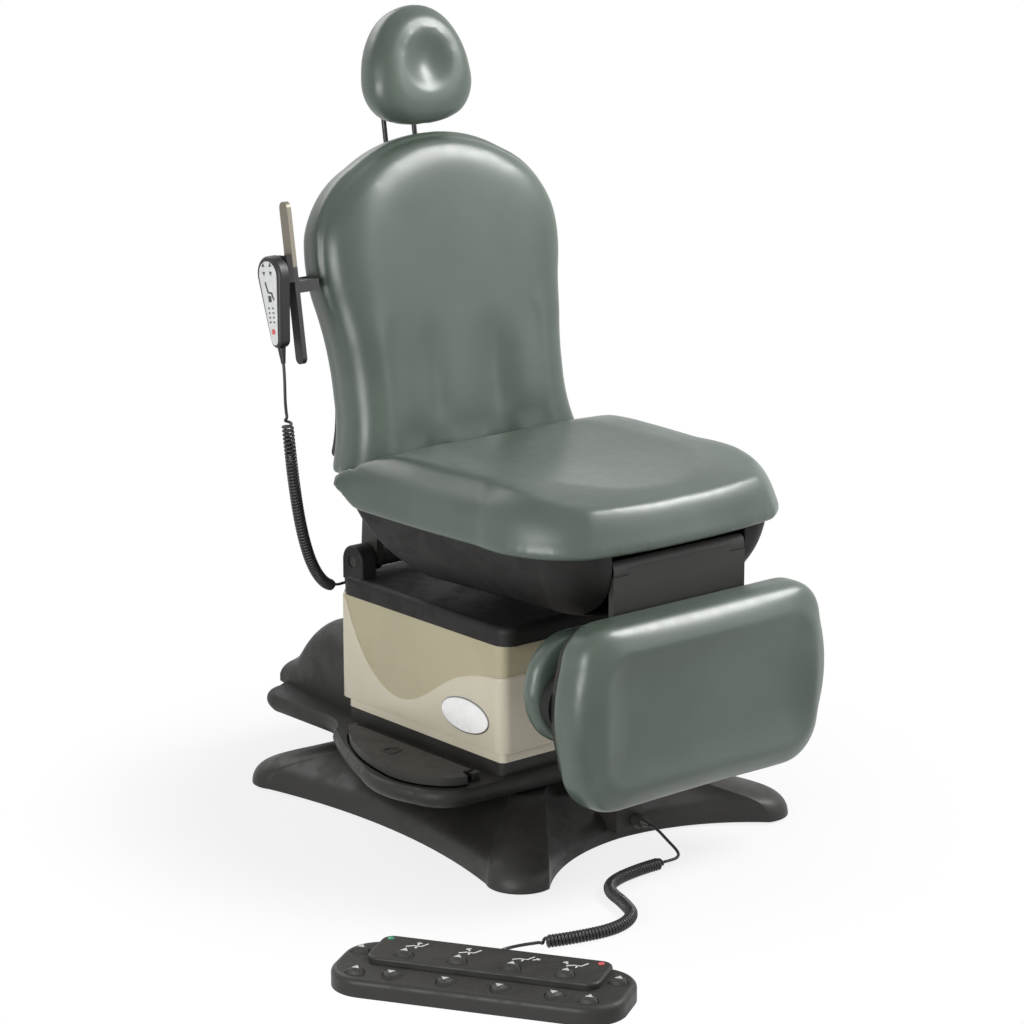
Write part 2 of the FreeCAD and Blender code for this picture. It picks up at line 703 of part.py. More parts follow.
def shroud(step, low, top):
    """One of the nested shrouds; step 0 is the outer one."""
    half_x, half_y, radius = SHROUD_X - step * SHROUD_STEP, SHROUD_Y - step * SHROUD_STEP, SHROUD_R - step * 3
    wall = SHROUD_WALL
    outer = rounded_block(half_x, -half_y, half_y, radius, low, top)
    return outer.cut(rounded_block(half_x - wall, wall - half_y, half_y - wall, radius - wall, low - 1,
                                   top + 1))


def column(step, low, top):
    """One of the nested square tubes; step 0 is the outer one."""
    half = COLUMN_HALF - step * COLUMN_STEP
    inner = half - COLUMN_WALL
    return box(-half, half, -half, half, low, top).cut(box(-inner, inner, -inner, inner, low - 1, top + 1))


LOWER_SHROUD_TOP = SHROUD_TOP - 2 * FLANGE_T - 1
MIDDLE_TOP = SHROUD_TOP - FLANGE_T


def lift_column_middle():
    """The middle tube, with the flange that carries the middle shroud."""
    inner_x, inner_y = SHROUD_X - SHROUD_STEP - SHROUD_WALL, SHROUD_Y - SHROUD_STEP - SHROUD_WALL
    flange = rounded_block(inner_x, -inner_y, inner_y, SHROUD_R - SHROUD_WALL - 2, MIDDLE_TOP - FLANGE_T,
                           MIDDLE_TOP)
    half = COLUMN_HALF - COLUMN_STEP - COLUMN_WALL
    flange = flange.cut([box(-half, half, -half, half, 0, SHROUD_TOP),
                         Part.makeCylinder(TILT_CYL_R + SOFT_GAP, SHROUD_TOP, V(0, TILT_ROD_Y, 0))])
    return joined(column(1, PLATE_TOP + 4, MIDDLE_TOP), flange)


def lift_motor():
    return Part.makeCylinder(MOTOR_R, MOTOR_H, V(0, MOTOR_Y, PLATE_TOP))


def top_cover():
    """The carriage's top casting, with the two uprights that carry the tilt shaft."""
    half = SHROUD_X + TOP_COVER_OVER
    front, rear = -SHROUD_Y - TOP_COVER_OVER - TOP_COVER_FRONT, SHROUD_Y + 1
    slab = rounded_block(half, front, rear, 28, SHROUD_TOP, COVER_TOP)
    slab = slab.makeFillet(TOP_COVER_EDGE, [e for e in slab.Edges if e.BoundBox.ZMin > COVER_TOP - 0.1])
    wall = TOP_COVER_WALL
    hollow = rounded_block(half - wall, front + wall, rear - wall, 18, SHROUD_TOP - 1, ROOF_LOW)
    upright = capsule_plate((TILT_Y, TILT_Z), (TILT_Y, SHROUD_TOP + TOP_COVER_H / 2), UPRIGHT_R, UPRIGHT_X0,
                            UPRIGHT_X0 + UPRIGHT_T)
    upright = upright.common(box(0, half, 0, rear, ROOF_LOW + 1, TILT_Z + UPRIGHT_R))
    upright = upright.makeFillet(4, [e for e in upright.Edges if e.BoundBox.XMin > UPRIGHT_X0 + UPRIGHT_T - 0.1
                                     and e.BoundBox.ZMax > TILT_Z + 1])
    bore = rod(V(-half, TILT_Y, TILT_Z), V(half, TILT_Y, TILT_Z), TILT_SHAFT_R + RUN_GAP)
    rod_hole = Part.makeCylinder(TILT_ROD_R + RUN_GAP, COVER_TOP, V(0, TILT_ROD_Y, 0))
    return joined(slab.cut(hollow), upright, mirrored(upright)).cut([bore, rod_hole])


TILT_PIN_Z = TILT_Z + TILT_PIN_RISE
TILT_CYL_LOW = PLATE_TOP + 72


def tilt_actuator():
    body = Part.makeCylinder(TILT_CYL_R, ROOF_LOW - TILT_CYL_LOW, V(0, TILT_ROD_Y, TILT_CYL_LOW))
    return body.cut(Part.makeCylinder(TILT_ROD_R + RUN_GAP, ROOF_LOW, V(0, TILT_ROD_Y, TILT_CYL_LOW + 4)))


def tilt_rod():
    shaft = Part.makeCylinder(TILT_ROD_R, TILT_PIN_Z - TILT_CYL_LOW - 6, V(0, TILT_ROD_Y, TILT_CYL_LOW + 6))
    reach = TILT_ROD_R + 8
    return joined(shaft, rod(V(-reach, TILT_ROD_Y, TILT_PIN_Z), V(reach, TILT_ROD_Y, TILT_PIN_Z), TILT_PIN_R))


# Seat

SEAT_OUTLINE = [
    (0, SEAT_REAR_Y),
    (SEAT_HALF - 22, SEAT_REAR_Y),
    ((SEAT_HALF - 9, SEAT_REAR_Y - 8), (SEAT_HALF - 4, SEAT_REAR_Y - 34)),
    ((SEAT_HALF, -70), (SEAT_HALF - 7, 190 - SEAT_FRONT_Y)),
    ((SEAT_HALF - 26, 72 - SEAT_FRONT_Y), (SEAT_HALF - 84, 16 - SEAT_FRONT_Y)),
    ((SEAT_HALF * 0.36, 3 - SEAT_FRONT_Y), (0, -SEAT_FRONT_Y)),
]
SEAT_SIZE = (SEAT_HALF, SEAT_FRONT_Y + SEAT_ROLL_Y)


def seat_crown():
    """The room below the seat's top, which rolls down to the rear and falls a little to the front."""
    def fall(y, start, radius):
        return SEAT_TOP - radius + math.sqrt(radius ** 2 - (y - start) ** 2)

    x, low = -SEAT_HALF - 20, SEAT_LOW - 20
    front, rear = -SEAT_FRONT_Y - 40, SEAT_REAR_Y + 30
    front_mid, rear_mid = (front + SEAT_FRONT_CROWN_Y) / 2, (rear + SEAT_REAR_CROWN_Y) / 2
    ends = [V(x, front, fall(front, SEAT_FRONT_CROWN_Y, SEAT_FRONT_CROWN_R)),
            V(x, SEAT_FRONT_CROWN_Y, SEAT_TOP),
            V(x, SEAT_REAR_CROWN_Y, SEAT_TOP), V(x, rear, fall(rear, SEAT_REAR_CROWN_Y, SEAT_REAR_CROWN_R))]
    front_arc = Part.Arc(ends[0], V(x, front_mid, fall(front_mid, SEAT_FRONT_CROWN_Y, SEAT_FRONT_CROWN_R)),
                         ends[1])
    rear_arc = Part.Arc(ends[2], V(x, rear_mid, fall(rear_mid, SEAT_REAR_CROWN_Y, SEAT_REAR_CROWN_R)),
                        ends[3])
    floor = [V(x, rear, low), V(x, front, low)]
    edges = [front_arc, Part.LineSegment(ends[1], ends[2]), rear_arc, Part.LineSegment(ends[3], floor[0]),
             Part.LineSegment(floor[0], floor[1]), Part.LineSegment(floor[1], ends[0])]
    return Part.Face(Part.Wire([e.toShape() for e in edges])).extrude(V(-2 * x, 0, 0))


def back_room():
    """The room that the back takes from the seat cushion; its front follows the back's dish."""
    half = BACK_FOOT + 12
    front = BACK_T / 2
    axis_n = front - BACK_DISH + BACK_DISH_R
    room = box(-half, half, -150, 250, -100, front + SOFT_GAP)
    dish = rod(V(0, -150, axis_n), V(0, 250, axis_n), BACK_DISH_R - SOFT_GAP)
    return placed(room.cut(dish), BACK_PLACE)


def seat_cushion():
    levels = [(SEAT_LOW + share * SEAT_T, inset) for share, inset in
              ((0, 6), (0.1, 0), (0.25, 1), (0.5, 8), (0.75, 20), (0.92, 36), (1, 52))]
    cushion = pad(SEAT_OUTLINE, SEAT_ROLL_Y, SEAT_SIZE, levels).common(seat_crown())
    axis_z = SEAT_TOP - SEAT_DISH + SEAT_DISH_R
    dish = rod(V(0, -SEAT_FRONT_Y - 50, axis_z), V(0, SEAT_REAR_Y + 50, axis_z), SEAT_DISH_R)
    under = polygon_plate([(60, SEAT_LOW - 1), (SEAT_REAR_Y + 10, SEAT_LOW - 1),
                           (SEAT_REAR_Y + 10, SEAT_LOW + 34)],
                          BACK_FOOT + 10, SEAT_HALF + 10)
    return cushion.cut([dish, back_room(), under, mirrored(under)])


def pan_outline(half, front, rear, inset, z):
    points = [(0, rear), (half - 28, rear), ((half - 8, rear - 8), (half, rear - 28)),
              (half - 26, 84 - front), ((half - 44, 22 - front), (half - 98, -front)), (0, -front)]
    return half_outline(points, (rear - front) / 2, (half, (rear + front) / 2), inset, z)


def pan_loft(inset, low, top):
    levels = ((low, PAN_LOW_X, PAN_FRONT_Y - 47, PAN_REAR_Y - 87),
              (low + (top - low) * 0.5, PAN_TOP_X - 24, PAN_FRONT_Y - 6, PAN_REAR_Y - 30),
              (top, PAN_TOP_X, PAN_FRONT_Y, PAN_REAR_Y))
    return Part.makeLoft([pan_outline(half, front, rear, inset, z) for z, half, front, rear in levels], True,
                         False)


def pan_posts():
    return [box(side * (RAIL_X0 + RAIL_W / 2) - 9, side * (RAIL_X0 + RAIL_W / 2) + 9, y, y + 20,
                PAN_LOW + PAN_WALL / 2, RAIL_LOW)
            for side in (-1, 1) for y in (-290, -30)]


def seat_pan():
    shell = pan_loft(0, PAN_LOW, SEAT_LOW).cut(pan_loft(PAN_WALL, PAN_LOW + PAN_WALL, SEAT_LOW + 0.5))
    behind = box(-PLATE_X1 - 6, PLATE_X1 + 6, -20, 200, RAIL_LOW - 26, SEAT_LOW + 1)
    hinge_half = FOOT_PANEL_HALF + 2
    hinge_room = box(-hinge_half, hinge_half, -500, 46 - FOOT_HINGE_Y, RAIL_LOW - 34, SEAT_LOW + 1)
    rod_room = box(-26, 26, TILT_ROD_Y - TILT_SLOT_FRONT - 16, TILT_ROD_Y + TILT_SLOT_BACK + 16, PAN_LOW - 1,
                   PAN_LOW + 20)
    return joined(shell.cut([behind, hinge_room, rod_room]), *pan_posts())


def seat_side():
    """The left half of the welded seat frame."""
    rail = box(RAIL_X0, PLATE_X0, -RAIL_FRONT_Y, RAIL_REAR_Y, RAIL_LOW, RAIL_TOP)
    plate = [box(PLATE_X0, PLATE_X1, 46, RAIL_REAR_Y, RAIL_LOW, RAIL_TOP),
             capsule_plate((TILT_Y, TILT_Z), (TILT_Y - 4, RAIL_LOW + 14), TILT_SHAFT_R + 10, PLATE_X0,
                           PLATE_X1),
             capsule_plate((BACK_HINGE_Y, BACK_HINGE_Z), (BACK_HINGE_Y, RAIL_TOP - 10), BACK_SHAFT_R + 9,
                           PLATE_X0, PLATE_X1)]
    lug = capsule_plate((-FOOT_HINGE_Y, FOOT_HINGE_Z), (10 - RAIL_FRONT_Y, RAIL_TOP - 14), FOOT_LUG_R + 0.5,
                        RAIL_X0, RAIL_X0 + 12)
    posts = [box(RAIL_X0 + 2, PLATE_X0 - 2, y, y + 30, RAIL_TOP, SEAT_LOW) for y in (-300, -20)]
    return joined(rail, lug, *plate, *posts)


def seat_frame():
    """Rails, cross plates, tilt shaft, the slotted bracket of the tilt drive and the handset cord's strap."""
    side = seat_side()
    shaft = rod(V(-UPRIGHT_X0 - UPRIGHT_T + 2, TILT_Y, TILT_Z),
                V(UPRIGHT_X0 + UPRIGHT_T - 2, TILT_Y, TILT_Z), TILT_SHAFT_R)
    tube = rod(V(-PLATE_X0, TILT_Y, TILT_Z), V(PLATE_X0, TILT_Y, TILT_Z), TILT_SHAFT_R + 6)
    front_cross = box(-RAIL_X0, RAIL_X0, -RAIL_FRONT_Y, 20 - RAIL_FRONT_Y, RAIL_TOP - CROSS_T, RAIL_TOP)
    slot_y0, slot_y1 = TILT_ROD_Y - TILT_SLOT_FRONT, TILT_ROD_Y + TILT_SLOT_BACK
    cross = box(-PLATE_X0, PLATE_X0, slot_y0 - 10, slot_y1 + 10, RAIL_TOP, RAIL_TOP + CROSS_T)
    play = TILT_PIN_R + TILT_SLOT_PLAY
    cheek = box(TILT_ROD_R + 1.5, TILT_ROD_R + 7.5, slot_y0 - 10, slot_y1 + 10, TILT_PIN_Z - play - 8,
                RAIL_TOP)
    slot = box(0, TILT_ROD_R + 20, slot_y0, slot_y1, TILT_PIN_Z - play, TILT_PIN_Z + play)
    cheek = cheek.cut(slot)
    strap = polygon_plate([(TILT_Y - 8, TILT_Z + 2), (TILT_Y + 8, TILT_Z + 2), (TILT_Y + 22, TILT_Z + 25),
                           (TILT_Y + 68, TILT_Z + 2),
                           (TILT_Y + 98, TILT_Z - 86), (TILT_Y + 124, TILT_Z - 86),
                           (TILT_Y + 124, TILT_Z - 58), (TILT_Y + 82, TILT_Z + 16),
                           (TILT_Y + 20, TILT_Z + 45), (TILT_Y, TILT_Z + 32)], CORD_SOCKET.x + 18,
                           CORD_SOCKET.x + 28)
    frame = joined(side, mirrored(side), tube, shaft, front_cross, cross, cheek, mirrored(cheek), strap)
    back_bore = rod(V(-PLATE_X1 - 1, BACK_HINGE_Y, BACK_HINGE_Z),
                    V(PLATE_X1 + 1, BACK_HINGE_Y, BACK_HINGE_Z), BACK_SHAFT_R + RUN_GAP)
    foot_bore = rod(V(-FOOT_SHAFT_HALF, -FOOT_HINGE_Y, FOOT_HINGE_Z),
                    V(FOOT_SHAFT_HALF, -FOOT_HINGE_Y, FOOT_HINGE_Z),
                    FOOT_SHAFT_R + RUN_GAP)
    return frame.cut([back_bore, foot_bore])


# Drives of the back and foot sections: a crank on the shaft, its pin in a rod's upright slot

def crank_pin(hinge_y, hinge_z, length, angle):
    """The crank pin's place at rest, as (y, z)."""
    turn = math.radians(angle)
    return hinge_y + length * math.sin(turn), hinge_z - length * math.cos(turn)


BACK_PIN = crank_pin(BACK_HINGE_Y, BACK_HINGE_Z, BACK_CRANK, BACK_CRANK_ANGLE)
FOOT_PIN = crank_pin(-FOOT_HINGE_Y, FOOT_HINGE_Z, FOOT_CRANK, FOOT_CRANK_ANGLE)
BACK_ROD_Z = BACK_HINGE_Z - BACK_CRANK - 14
FOOT_ROD_Z = FOOT_HINGE_Z - FOOT_CRANK - 10.5


def crank(x, hinge_y, hinge_z, pin):
    arm = capsule_plate((hinge_y, hinge_z), pin, CRANK_PIN_R + 4, x - CRANK_T / 2, x + CRANK_T / 2)
    reach = CRANK_T / 2 + 1 + FORK_CHEEK + 2
    return joined(arm, rod(V(x - reach, *pin), V(x + reach, *pin), CRANK_PIN_R))


def drive_rod(x, rod_z, pin, lowest_pin_z, length, towards):
    """A rod along y with a slotted fork round a crank pin; towards is the way the rod runs from the fork."""
    y, rest_z = pin
    gap, cheek = CRANK_T / 2 + 1, FORK_CHEEK
    low = rod_z - ACTUATOR_ROD_R
    top = rest_z + CRANK_PIN_R + FORK_PLAY + 8
    back = y + towards * (CRANK_PIN_R + 15)
    front = y - towards * (CRANK_PIN_R + 8)
    fork = box(x - gap - cheek, x + gap + cheek, min(front, back), max(front, back), low, top)
    fork = fork.cut(box(x - gap, x + gap, y - 100, y + 100, rod_z + ACTUATOR_ROD_R, top + 1))
    inner = y + towards * (CRANK_PIN_R + 8)
    fork = fork.cut(box(x - gap, x + gap, min(front - towards, inner), max(front - towards, inner), low - 1,
                        top + 1))
    slot = box(x - gap - cheek - 1, x + gap + cheek + 1, y - CRANK_PIN_R - FORK_PLAY,
               y + CRANK_PIN_R + FORK_PLAY,
               lowest_pin_z - CRANK_PIN_R - FORK_PLAY, rest_z + CRANK_PIN_R + FORK_PLAY)
    shaft = rod(V(x, back - towards * 3, rod_z), V(x, back + towards * length, rod_z), ACTUATOR_ROD_R)
    return joined(fork.cut(slot), shaft)


def back_rod():
    return drive_rod(-ACTUATOR_X, BACK_ROD_Z, BACK_PIN, BACK_HINGE_Z - BACK_CRANK, 176, -1)


def foot_rod():
    return drive_rod(ACTUATOR_X, FOOT_ROD_Z, FOOT_PIN, FOOT_HINGE_Z - FOOT_CRANK, 226, 1)


def seat_actuators():
    """The two drive cylinders under the seat, each hung from the cross plate by a saddle."""
    solids = []
    for x, z, y0, y1, bore in ((-ACTUATOR_X, BACK_ROD_Z, -190, 70, (-85, 71)),
                               (ACTUATOR_X, FOOT_ROD_Z, -290, -55, (-291, -70))):
        body = rod(V(x, y0, z), V(x, y1, z), ACTUATOR_R)
        saddle = box(x - 10, x + 10, TILT_ROD_Y - 24, TILT_ROD_Y + 4, z, RAIL_TOP)
        hole = rod(V(x, bore[0], z), V(x, bore[1], z), ACTUATOR_ROD_R + RUN_GAP)
        solids.append(joined(body, saddle).cut(hole))
    return Part.makeCompound(solids)


# Back

BACK_OUTLINE = [
    (0, BACK_LENGTH),
    ((BACK_HALF * 0.316, BACK_LENGTH * 0.983), (BACK_HALF * 0.607, BACK_LENGTH * 0.925)),
    ((BACK_HALF * 0.842, BACK_LENGTH * 0.849), (BACK_HALF * 0.984, BACK_LENGTH * 0.738)),
    ((BACK_HALF, BACK_LENGTH * 0.661), (BACK_HALF - 7, BACK_LENGTH * 0.536)),
    ((BACK_WAIST + 4, BACK_LENGTH * 0.375), (BACK_WAIST, BACK_LENGTH * 0.232)),
    ((BACK_WAIST + 3, BACK_LENGTH * 0.125), (BACK_FOOT, BACK_LENGTH * 0.023)),
    ((BACK_FOOT - 2, 3), (BACK_FOOT - 10, 0)),
    (0, 0),
]
BACK_SIZE = (BACK_HALF, BACK_LENGTH / 2)


def back_cushion():
    levels = [(share * BACK_T, inset) for share, inset in
              ((-0.5, 24), (-0.4, 8), (-0.16, 0), (0.1, 0), (0.34, 9), (0.46, 27), (0.5, 52))]
    cushion = pad(BACK_OUTLINE, BACK_ROLL_V, (BACK_HALF, BACK_LENGTH - BACK_ROLL_V), levels)
    front = BACK_T / 2
    dish = rod(V(0, -50, front - BACK_DISH + BACK_DISH_R),
               V(0, BACK_LENGTH + 50, front - BACK_DISH + BACK_DISH_R), BACK_DISH_R)
    grooves = []
    for side in (-1, 1):
        axis_n = front - BACK_DISH - LUMBAR_DEPTH + LUMBAR_R + LUMBAR_X ** 2 / (2 * BACK_DISH_R)
        start = V(side * LUMBAR_X, -20, axis_n)
        end = V(side * LUMBAR_X, BACK_LENGTH * 0.36, axis_n)
        grooves.append(joined(rod(start, end, LUMBAR_R), Part.makeSphere(LUMBAR_R, end)))
    return placed(cushion.cut([dish, *grooves]), BACK_PLACE)


PANEL_N = -BACK_T / 2 - BACK_PANEL_T


def back_point(v, n):
    """The (y, z) of a point on the back's middle section."""
    point = BACK_PLACE.multVec(V(0, v, n))
    return point.y, point.z


def back_frame():
    """The back's pressed panel on its two hinge arms, with the hinge shaft and the drive's crank."""
    panel = Part.Face(half_outline(BACK_OUTLINE, BACK_LENGTH / 2, BACK_SIZE, 26,
                                   PANEL_N)).extrude(V(0, 0, BACK_PANEL_T))
    arm = polygon_plate([(BACK_HINGE_Y - 12, BACK_HINGE_Z + 8), (BACK_HINGE_Y + 14, BACK_HINGE_Z - 10),
                         back_point(20, PANEL_N - 22),
                         back_point(210, PANEL_N - 14), back_point(230, PANEL_N + 1),
                         back_point(18, PANEL_N + 1)],
                        PLATE_X1 + 2, PLATE_X1 + 2 + BACK_ARM_T)
    boss = rod(V(PLATE_X1 + 2, BACK_HINGE_Y, BACK_HINGE_Z),
               V(PLATE_X1 + 2 + BACK_ARM_T, BACK_HINGE_Y, BACK_HINGE_Z), BACK_SHAFT_R + 9)
    arm = joined(arm, boss)
    end = PLATE_X1 + 1 + BACK_ARM_T
    shaft = rod(V(-end, BACK_HINGE_Y, BACK_HINGE_Z), V(end, BACK_HINGE_Y, BACK_HINGE_Z), BACK_SHAFT_R)
    return joined(placed(panel, BACK_PLACE), arm, mirrored(arm), shaft,
                  crank(-ACTUATOR_X, BACK_HINGE_Y, BACK_HINGE_Z, BACK_PIN))


# Headrest

HEAD_ROD_N = PANEL_N - GUIDE_T / 2
HEAD_LOW = BACK_LENGTH + HEAD_GAP
HEAD_OUTLINE = [
    (0, HEAD_LOW + HEAD_H),
    ((HEAD_HALF * 0.376, HEAD_LOW + HEAD_H - 8), (HEAD_HALF * 0.693, HEAD_LOW + HEAD_H - 32)),
    ((HEAD_HALF * 0.90, HEAD_LOW + HEAD_H - 66), (HEAD_HALF, HEAD_LOW + 84)),
    ((HEAD_HALF * 0.965, HEAD_LOW + 42), (HEAD_HALF * 0.713, HEAD_LOW + 12)),
    ((HEAD_HALF * 0.396, HEAD_LOW + 2), (0, HEAD_LOW)),
]


def headrest_guides():
    block = box(-HEAD_ROD_X - 18, HEAD_ROD_X + 18, GUIDE_V0, GUIDE_V0 + GUIDE_L, PANEL_N - GUIDE_T, PANEL_N)
    bores = [rod(V(x, GUIDE_V0 - 1, HEAD_ROD_N), V(x, GUIDE_V0 + GUIDE_L + 1, HEAD_ROD_N),
                 HEAD_ROD_R + RUN_GAP)
             for x in (-HEAD_ROD_X, HEAD_ROD_X)]
    return placed(block.cut(bores), BACK_PLACE)


def headrest_rods():
    rods = [rod(V(x, HEAD_PIVOT_V - HEAD_ROD_L, HEAD_ROD_N), V(x, HEAD_PIVOT_V + HEAD_ROD_R, HEAD_ROD_N),
                HEAD_ROD_R)
            for x in (-HEAD_ROD_X, HEAD_ROD_X)]
    pin = rod(V(-HEAD_ROD_X, HEAD_PIVOT_V, HEAD_ROD_N), V(HEAD_ROD_X, HEAD_PIVOT_V, HEAD_ROD_N), HEAD_PIN_R)
    return placed(joined(pin, *rods), BACK_PLACE)


HEAD_REAR_N = -HEAD_SET_BACK - HEAD_T / 2


def headrest_bracket():
    plate = box(-42, 42, HEAD_PIVOT_V - 26, HEAD_PIVOT_V + 52, HEAD_REAR_N - 5, HEAD_REAR_N)
    half = HEAD_ROD_X - HEAD_ROD_R - 3
    lug = box(-half, half, HEAD_PIVOT_V - 9, HEAD_PIVOT_V + 9, HEAD_ROD_N, HEAD_REAR_N - 4)
    knuckle = rod(V(-half, HEAD_PIVOT_V, HEAD_ROD_N), V(half, HEAD_PIVOT_V, HEAD_ROD_N), 9)
    bore = rod(V(-half - 1, HEAD_PIVOT_V, HEAD_ROD_N), V(half + 1, HEAD_PIVOT_V, HEAD_ROD_N),
               HEAD_PIN_R + RUN_GAP)
    return placed(joined(plate, lug, knuckle).cut(bore), BACK_PLACE)


def headrest_pad():
    levels = [(share * HEAD_T - HEAD_SET_BACK, inset) for share, inset in
              ((-0.5, 26), (-0.36, 8), (-0.1, 0), (0.16, 1), (0.38, 12), (0.5, 36))]
    cushion = pad(HEAD_OUTLINE, HEAD_LOW + HEAD_H / 2, (HEAD_HALF, HEAD_H / 2), levels)
    front = HEAD_T / 2 - HEAD_SET_BACK
    dish = Part.makeSphere(HEAD_DISH_R, V(0, HEAD_LOW + HEAD_H * 0.52, front - HEAD_DISH + HEAD_DISH_R))
    return placed(cushion.cut(dish), BACK_PLACE)


# Accessory rail and handset

def accessory_rail():
    """A flat bar beside the back, on a strap that passes round the cushion to the panel."""
    x0, x1 = -RAIL_BAR_X - RAIL_BAR_T, -RAIL_BAR_X
    half = RAIL_BAR_W / 2
    bar = box(x0, x1, RAIL_BAR_V0 + half, RAIL_BAR_V0 + RAIL_BAR_L - half, RAIL_BAR_N - half,
              RAIL_BAR_N + half)
    ends = [rod(V(x0, v, RAIL_BAR_N), V(x1, v, RAIL_BAR_N), half)
            for v in (RAIL_BAR_V0 + half, RAIL_BAR_V0 + RAIL_BAR_L - half)]
    v0, v1 = STRAP_V0, STRAP_V0 + STRAP_W
    foot_n = PANEL_N - STRAP_T
    strap = [box(x1 - 1, -STRAP_X, v0, v1, RAIL_BAR_N - 7, RAIL_BAR_N + 7),
             box(-STRAP_X - STRAP_T, -STRAP_X, v0, v1, foot_n, RAIL_BAR_N + 7),
             box(-STRAP_X - STRAP_T, -BACK_HALF + 70, v0, v1, foot_n, PANEL_N)]
    return placed(joined(bar, *ends, *strap), BACK_PLACE)


CRADLE_X1 = -RAIL_BAR_X - RAIL_BAR_T
HANDSET_X1 = CRADLE_X1 - CRADLE_T - FIT_GAP


def handset_cradle():
    """A block on the rail with a slot, open at the top, for the peg on the handset's back."""
    block = box(CRADLE_X1 - CRADLE_T, CRADLE_X1, CRADLE_V0, CRADLE_V0 + CRADLE_L, HANDSET_N - 14,
                RAIL_BAR_N + RAIL_BAR_W / 2)
    wide = PEG_R + RUN_GAP
    seat = rod(V(CRADLE_X1 - CRADLE_T - 1, PEG_V, HANDSET_N), V(CRADLE_X1 + 1, PEG_V, HANDSET_N), wide)
    slot = box(CRADLE_X1 - CRADLE_T - 1, CRADLE_X1 + 1, PEG_V, CRADLE_V0 + CRADLE_L + 1, HANDSET_N - wide,
               HANDSET_N + wide)
    return placed(block.cut([seat, slot]), BACK_PLACE)


def teardrop(head_r, tail_r, x, depth):
    """A plate with a large round head and a small round tail, across x."""
    gap = HANDSET_HEAD_V - HANDSET_TAIL_V
    lean = math.asin((head_r - tail_r) / gap)
    cos, sin = math.cos(lean), math.sin(lean)
    spots = {}
    for side in (-1, 1):
        spots[side] = [V(x, HANDSET_HEAD_V - head_r * sin, HANDSET_N + side * head_r * cos),
                       V(x, HANDSET_TAIL_V - tail_r * sin, HANDSET_N + side * tail_r * cos)]
    top, low = V(x, HANDSET_HEAD_V + head_r, HANDSET_N), V(x, HANDSET_TAIL_V - tail_r, HANDSET_N)
    wire = Part.Wire([Part.Arc(spots[-1][0], top, spots[1][0]).toShape(),
                      Part.LineSegment(*spots[1]).toShape(),
                      Part.Arc(spots[1][1], low, spots[-1][1]).toShape(),
                      Part.LineSegment(spots[-1][1], spots[-1][0]).toShape()])
    return Part.Face(wire).extrude(V(depth, 0, 0))


def handset_shell():
    body = teardrop(HANDSET_HEAD_R, HANDSET_TAIL_R, HANDSET_X1 - HANDSET_T, HANDSET_T)
    body = body.makeFillet(HANDSET_EDGE, [e for e in body.Edges if e.BoundBox.XMax - e.BoundBox.XMin < 0.1])
    peg = rod(V(HANDSET_X1 - 2, PEG_V, HANDSET_N), V(CRADLE_X1 - FIT_GAP, PEG_V, HANDSET_N), PEG_R)
    return placed(joined(body, peg), BACK_PLACE)


HANDSET_MID_X = HANDSET_X1 - HANDSET_T / 2
RELIEF_TOP_V = HANDSET_TAIL_V - HANDSET_TAIL_R
RELIEF_LOW_V = RELIEF_TOP_V - RELIEF_L


def handset_strain_relief():
    relief = cone(V(HANDSET_MID_X, RELIEF_TOP_V, HANDSET_N), V(HANDSET_MID_X, RELIEF_LOW_V, HANDSET_N),
                  RELIEF_R, CORD_R + 1)
    return placed(relief, BACK_PLACE)


# Foot section

def foot_outline(half, low, high, top_r, low_r, bulge):
    """A rectangle with round corners whose sides swell by bulge in the middle."""
    side = half - bulge
    return [(0, high), (side - top_r, high),
            (arc_mid(side - top_r, high - top_r, top_r, 1, 1), (side, high - top_r)),
            ((half, (low + high) / 2), (side, low + low_r)),
            (arc_mid(side - low_r, low + low_r, low_r, 1, -1), (side - low_r, low)), (0, low)]


FOOT_OUTLINE = foot_outline(FOOT_HALF, FOOT_LOW, FOOT_HIGH, FOOT_TOP_R, FOOT_LOW_R, FOOT_BULGE)
FOOT_SIZE = (FOOT_HALF, (FOOT_HIGH - FOOT_LOW) / 2)
FOOT_CENTRE = (FOOT_HIGH + FOOT_LOW) / 2
PANEL_BACK_N = FOOT_PAD_N - FOOT_PANEL_T


def foot_cushion():
    levels = [(FOOT_PAD_N + share * FOOT_PAD_T, inset) for share, inset in
              ((0, 14), (0.16, 3), (0.48, 0), (0.78, 5), (0.93, 18), (1, 42))]
    return placed(pad(FOOT_OUTLINE, FOOT_CENTRE, FOOT_SIZE, levels), FOOT_PLACE)


def foot_frame():
    """The foot section's panel with its hinge shaft and the drive's crank."""
    knuckle_half = RAIL_X0 - 6
    panel = box(-FOOT_PANEL_HALF, FOOT_PANEL_HALF, -FOOT_PAD_N, -PANEL_BACK_N, FOOT_PANEL_LOW,
                FOOT_HINGE_Z - 6)
    knuckle = box(-knuckle_half, knuckle_half, -FOOT_PAD_N, 5.5 - FOOT_HINGE_Y, FOOT_HINGE_Z - 6,
                  FOOT_HINGE_Z + 5.5)
    shaft = rod(V(-FOOT_SHAFT_HALF, -FOOT_HINGE_Y, FOOT_HINGE_Z),
                V(FOOT_SHAFT_HALF, -FOOT_HINGE_Y, FOOT_HINGE_Z), FOOT_SHAFT_R)
    return joined(panel, knuckle, shaft, crank(ACTUATOR_X, -FOOT_HINGE_Y, FOOT_HINGE_Z, FOOT_PIN))


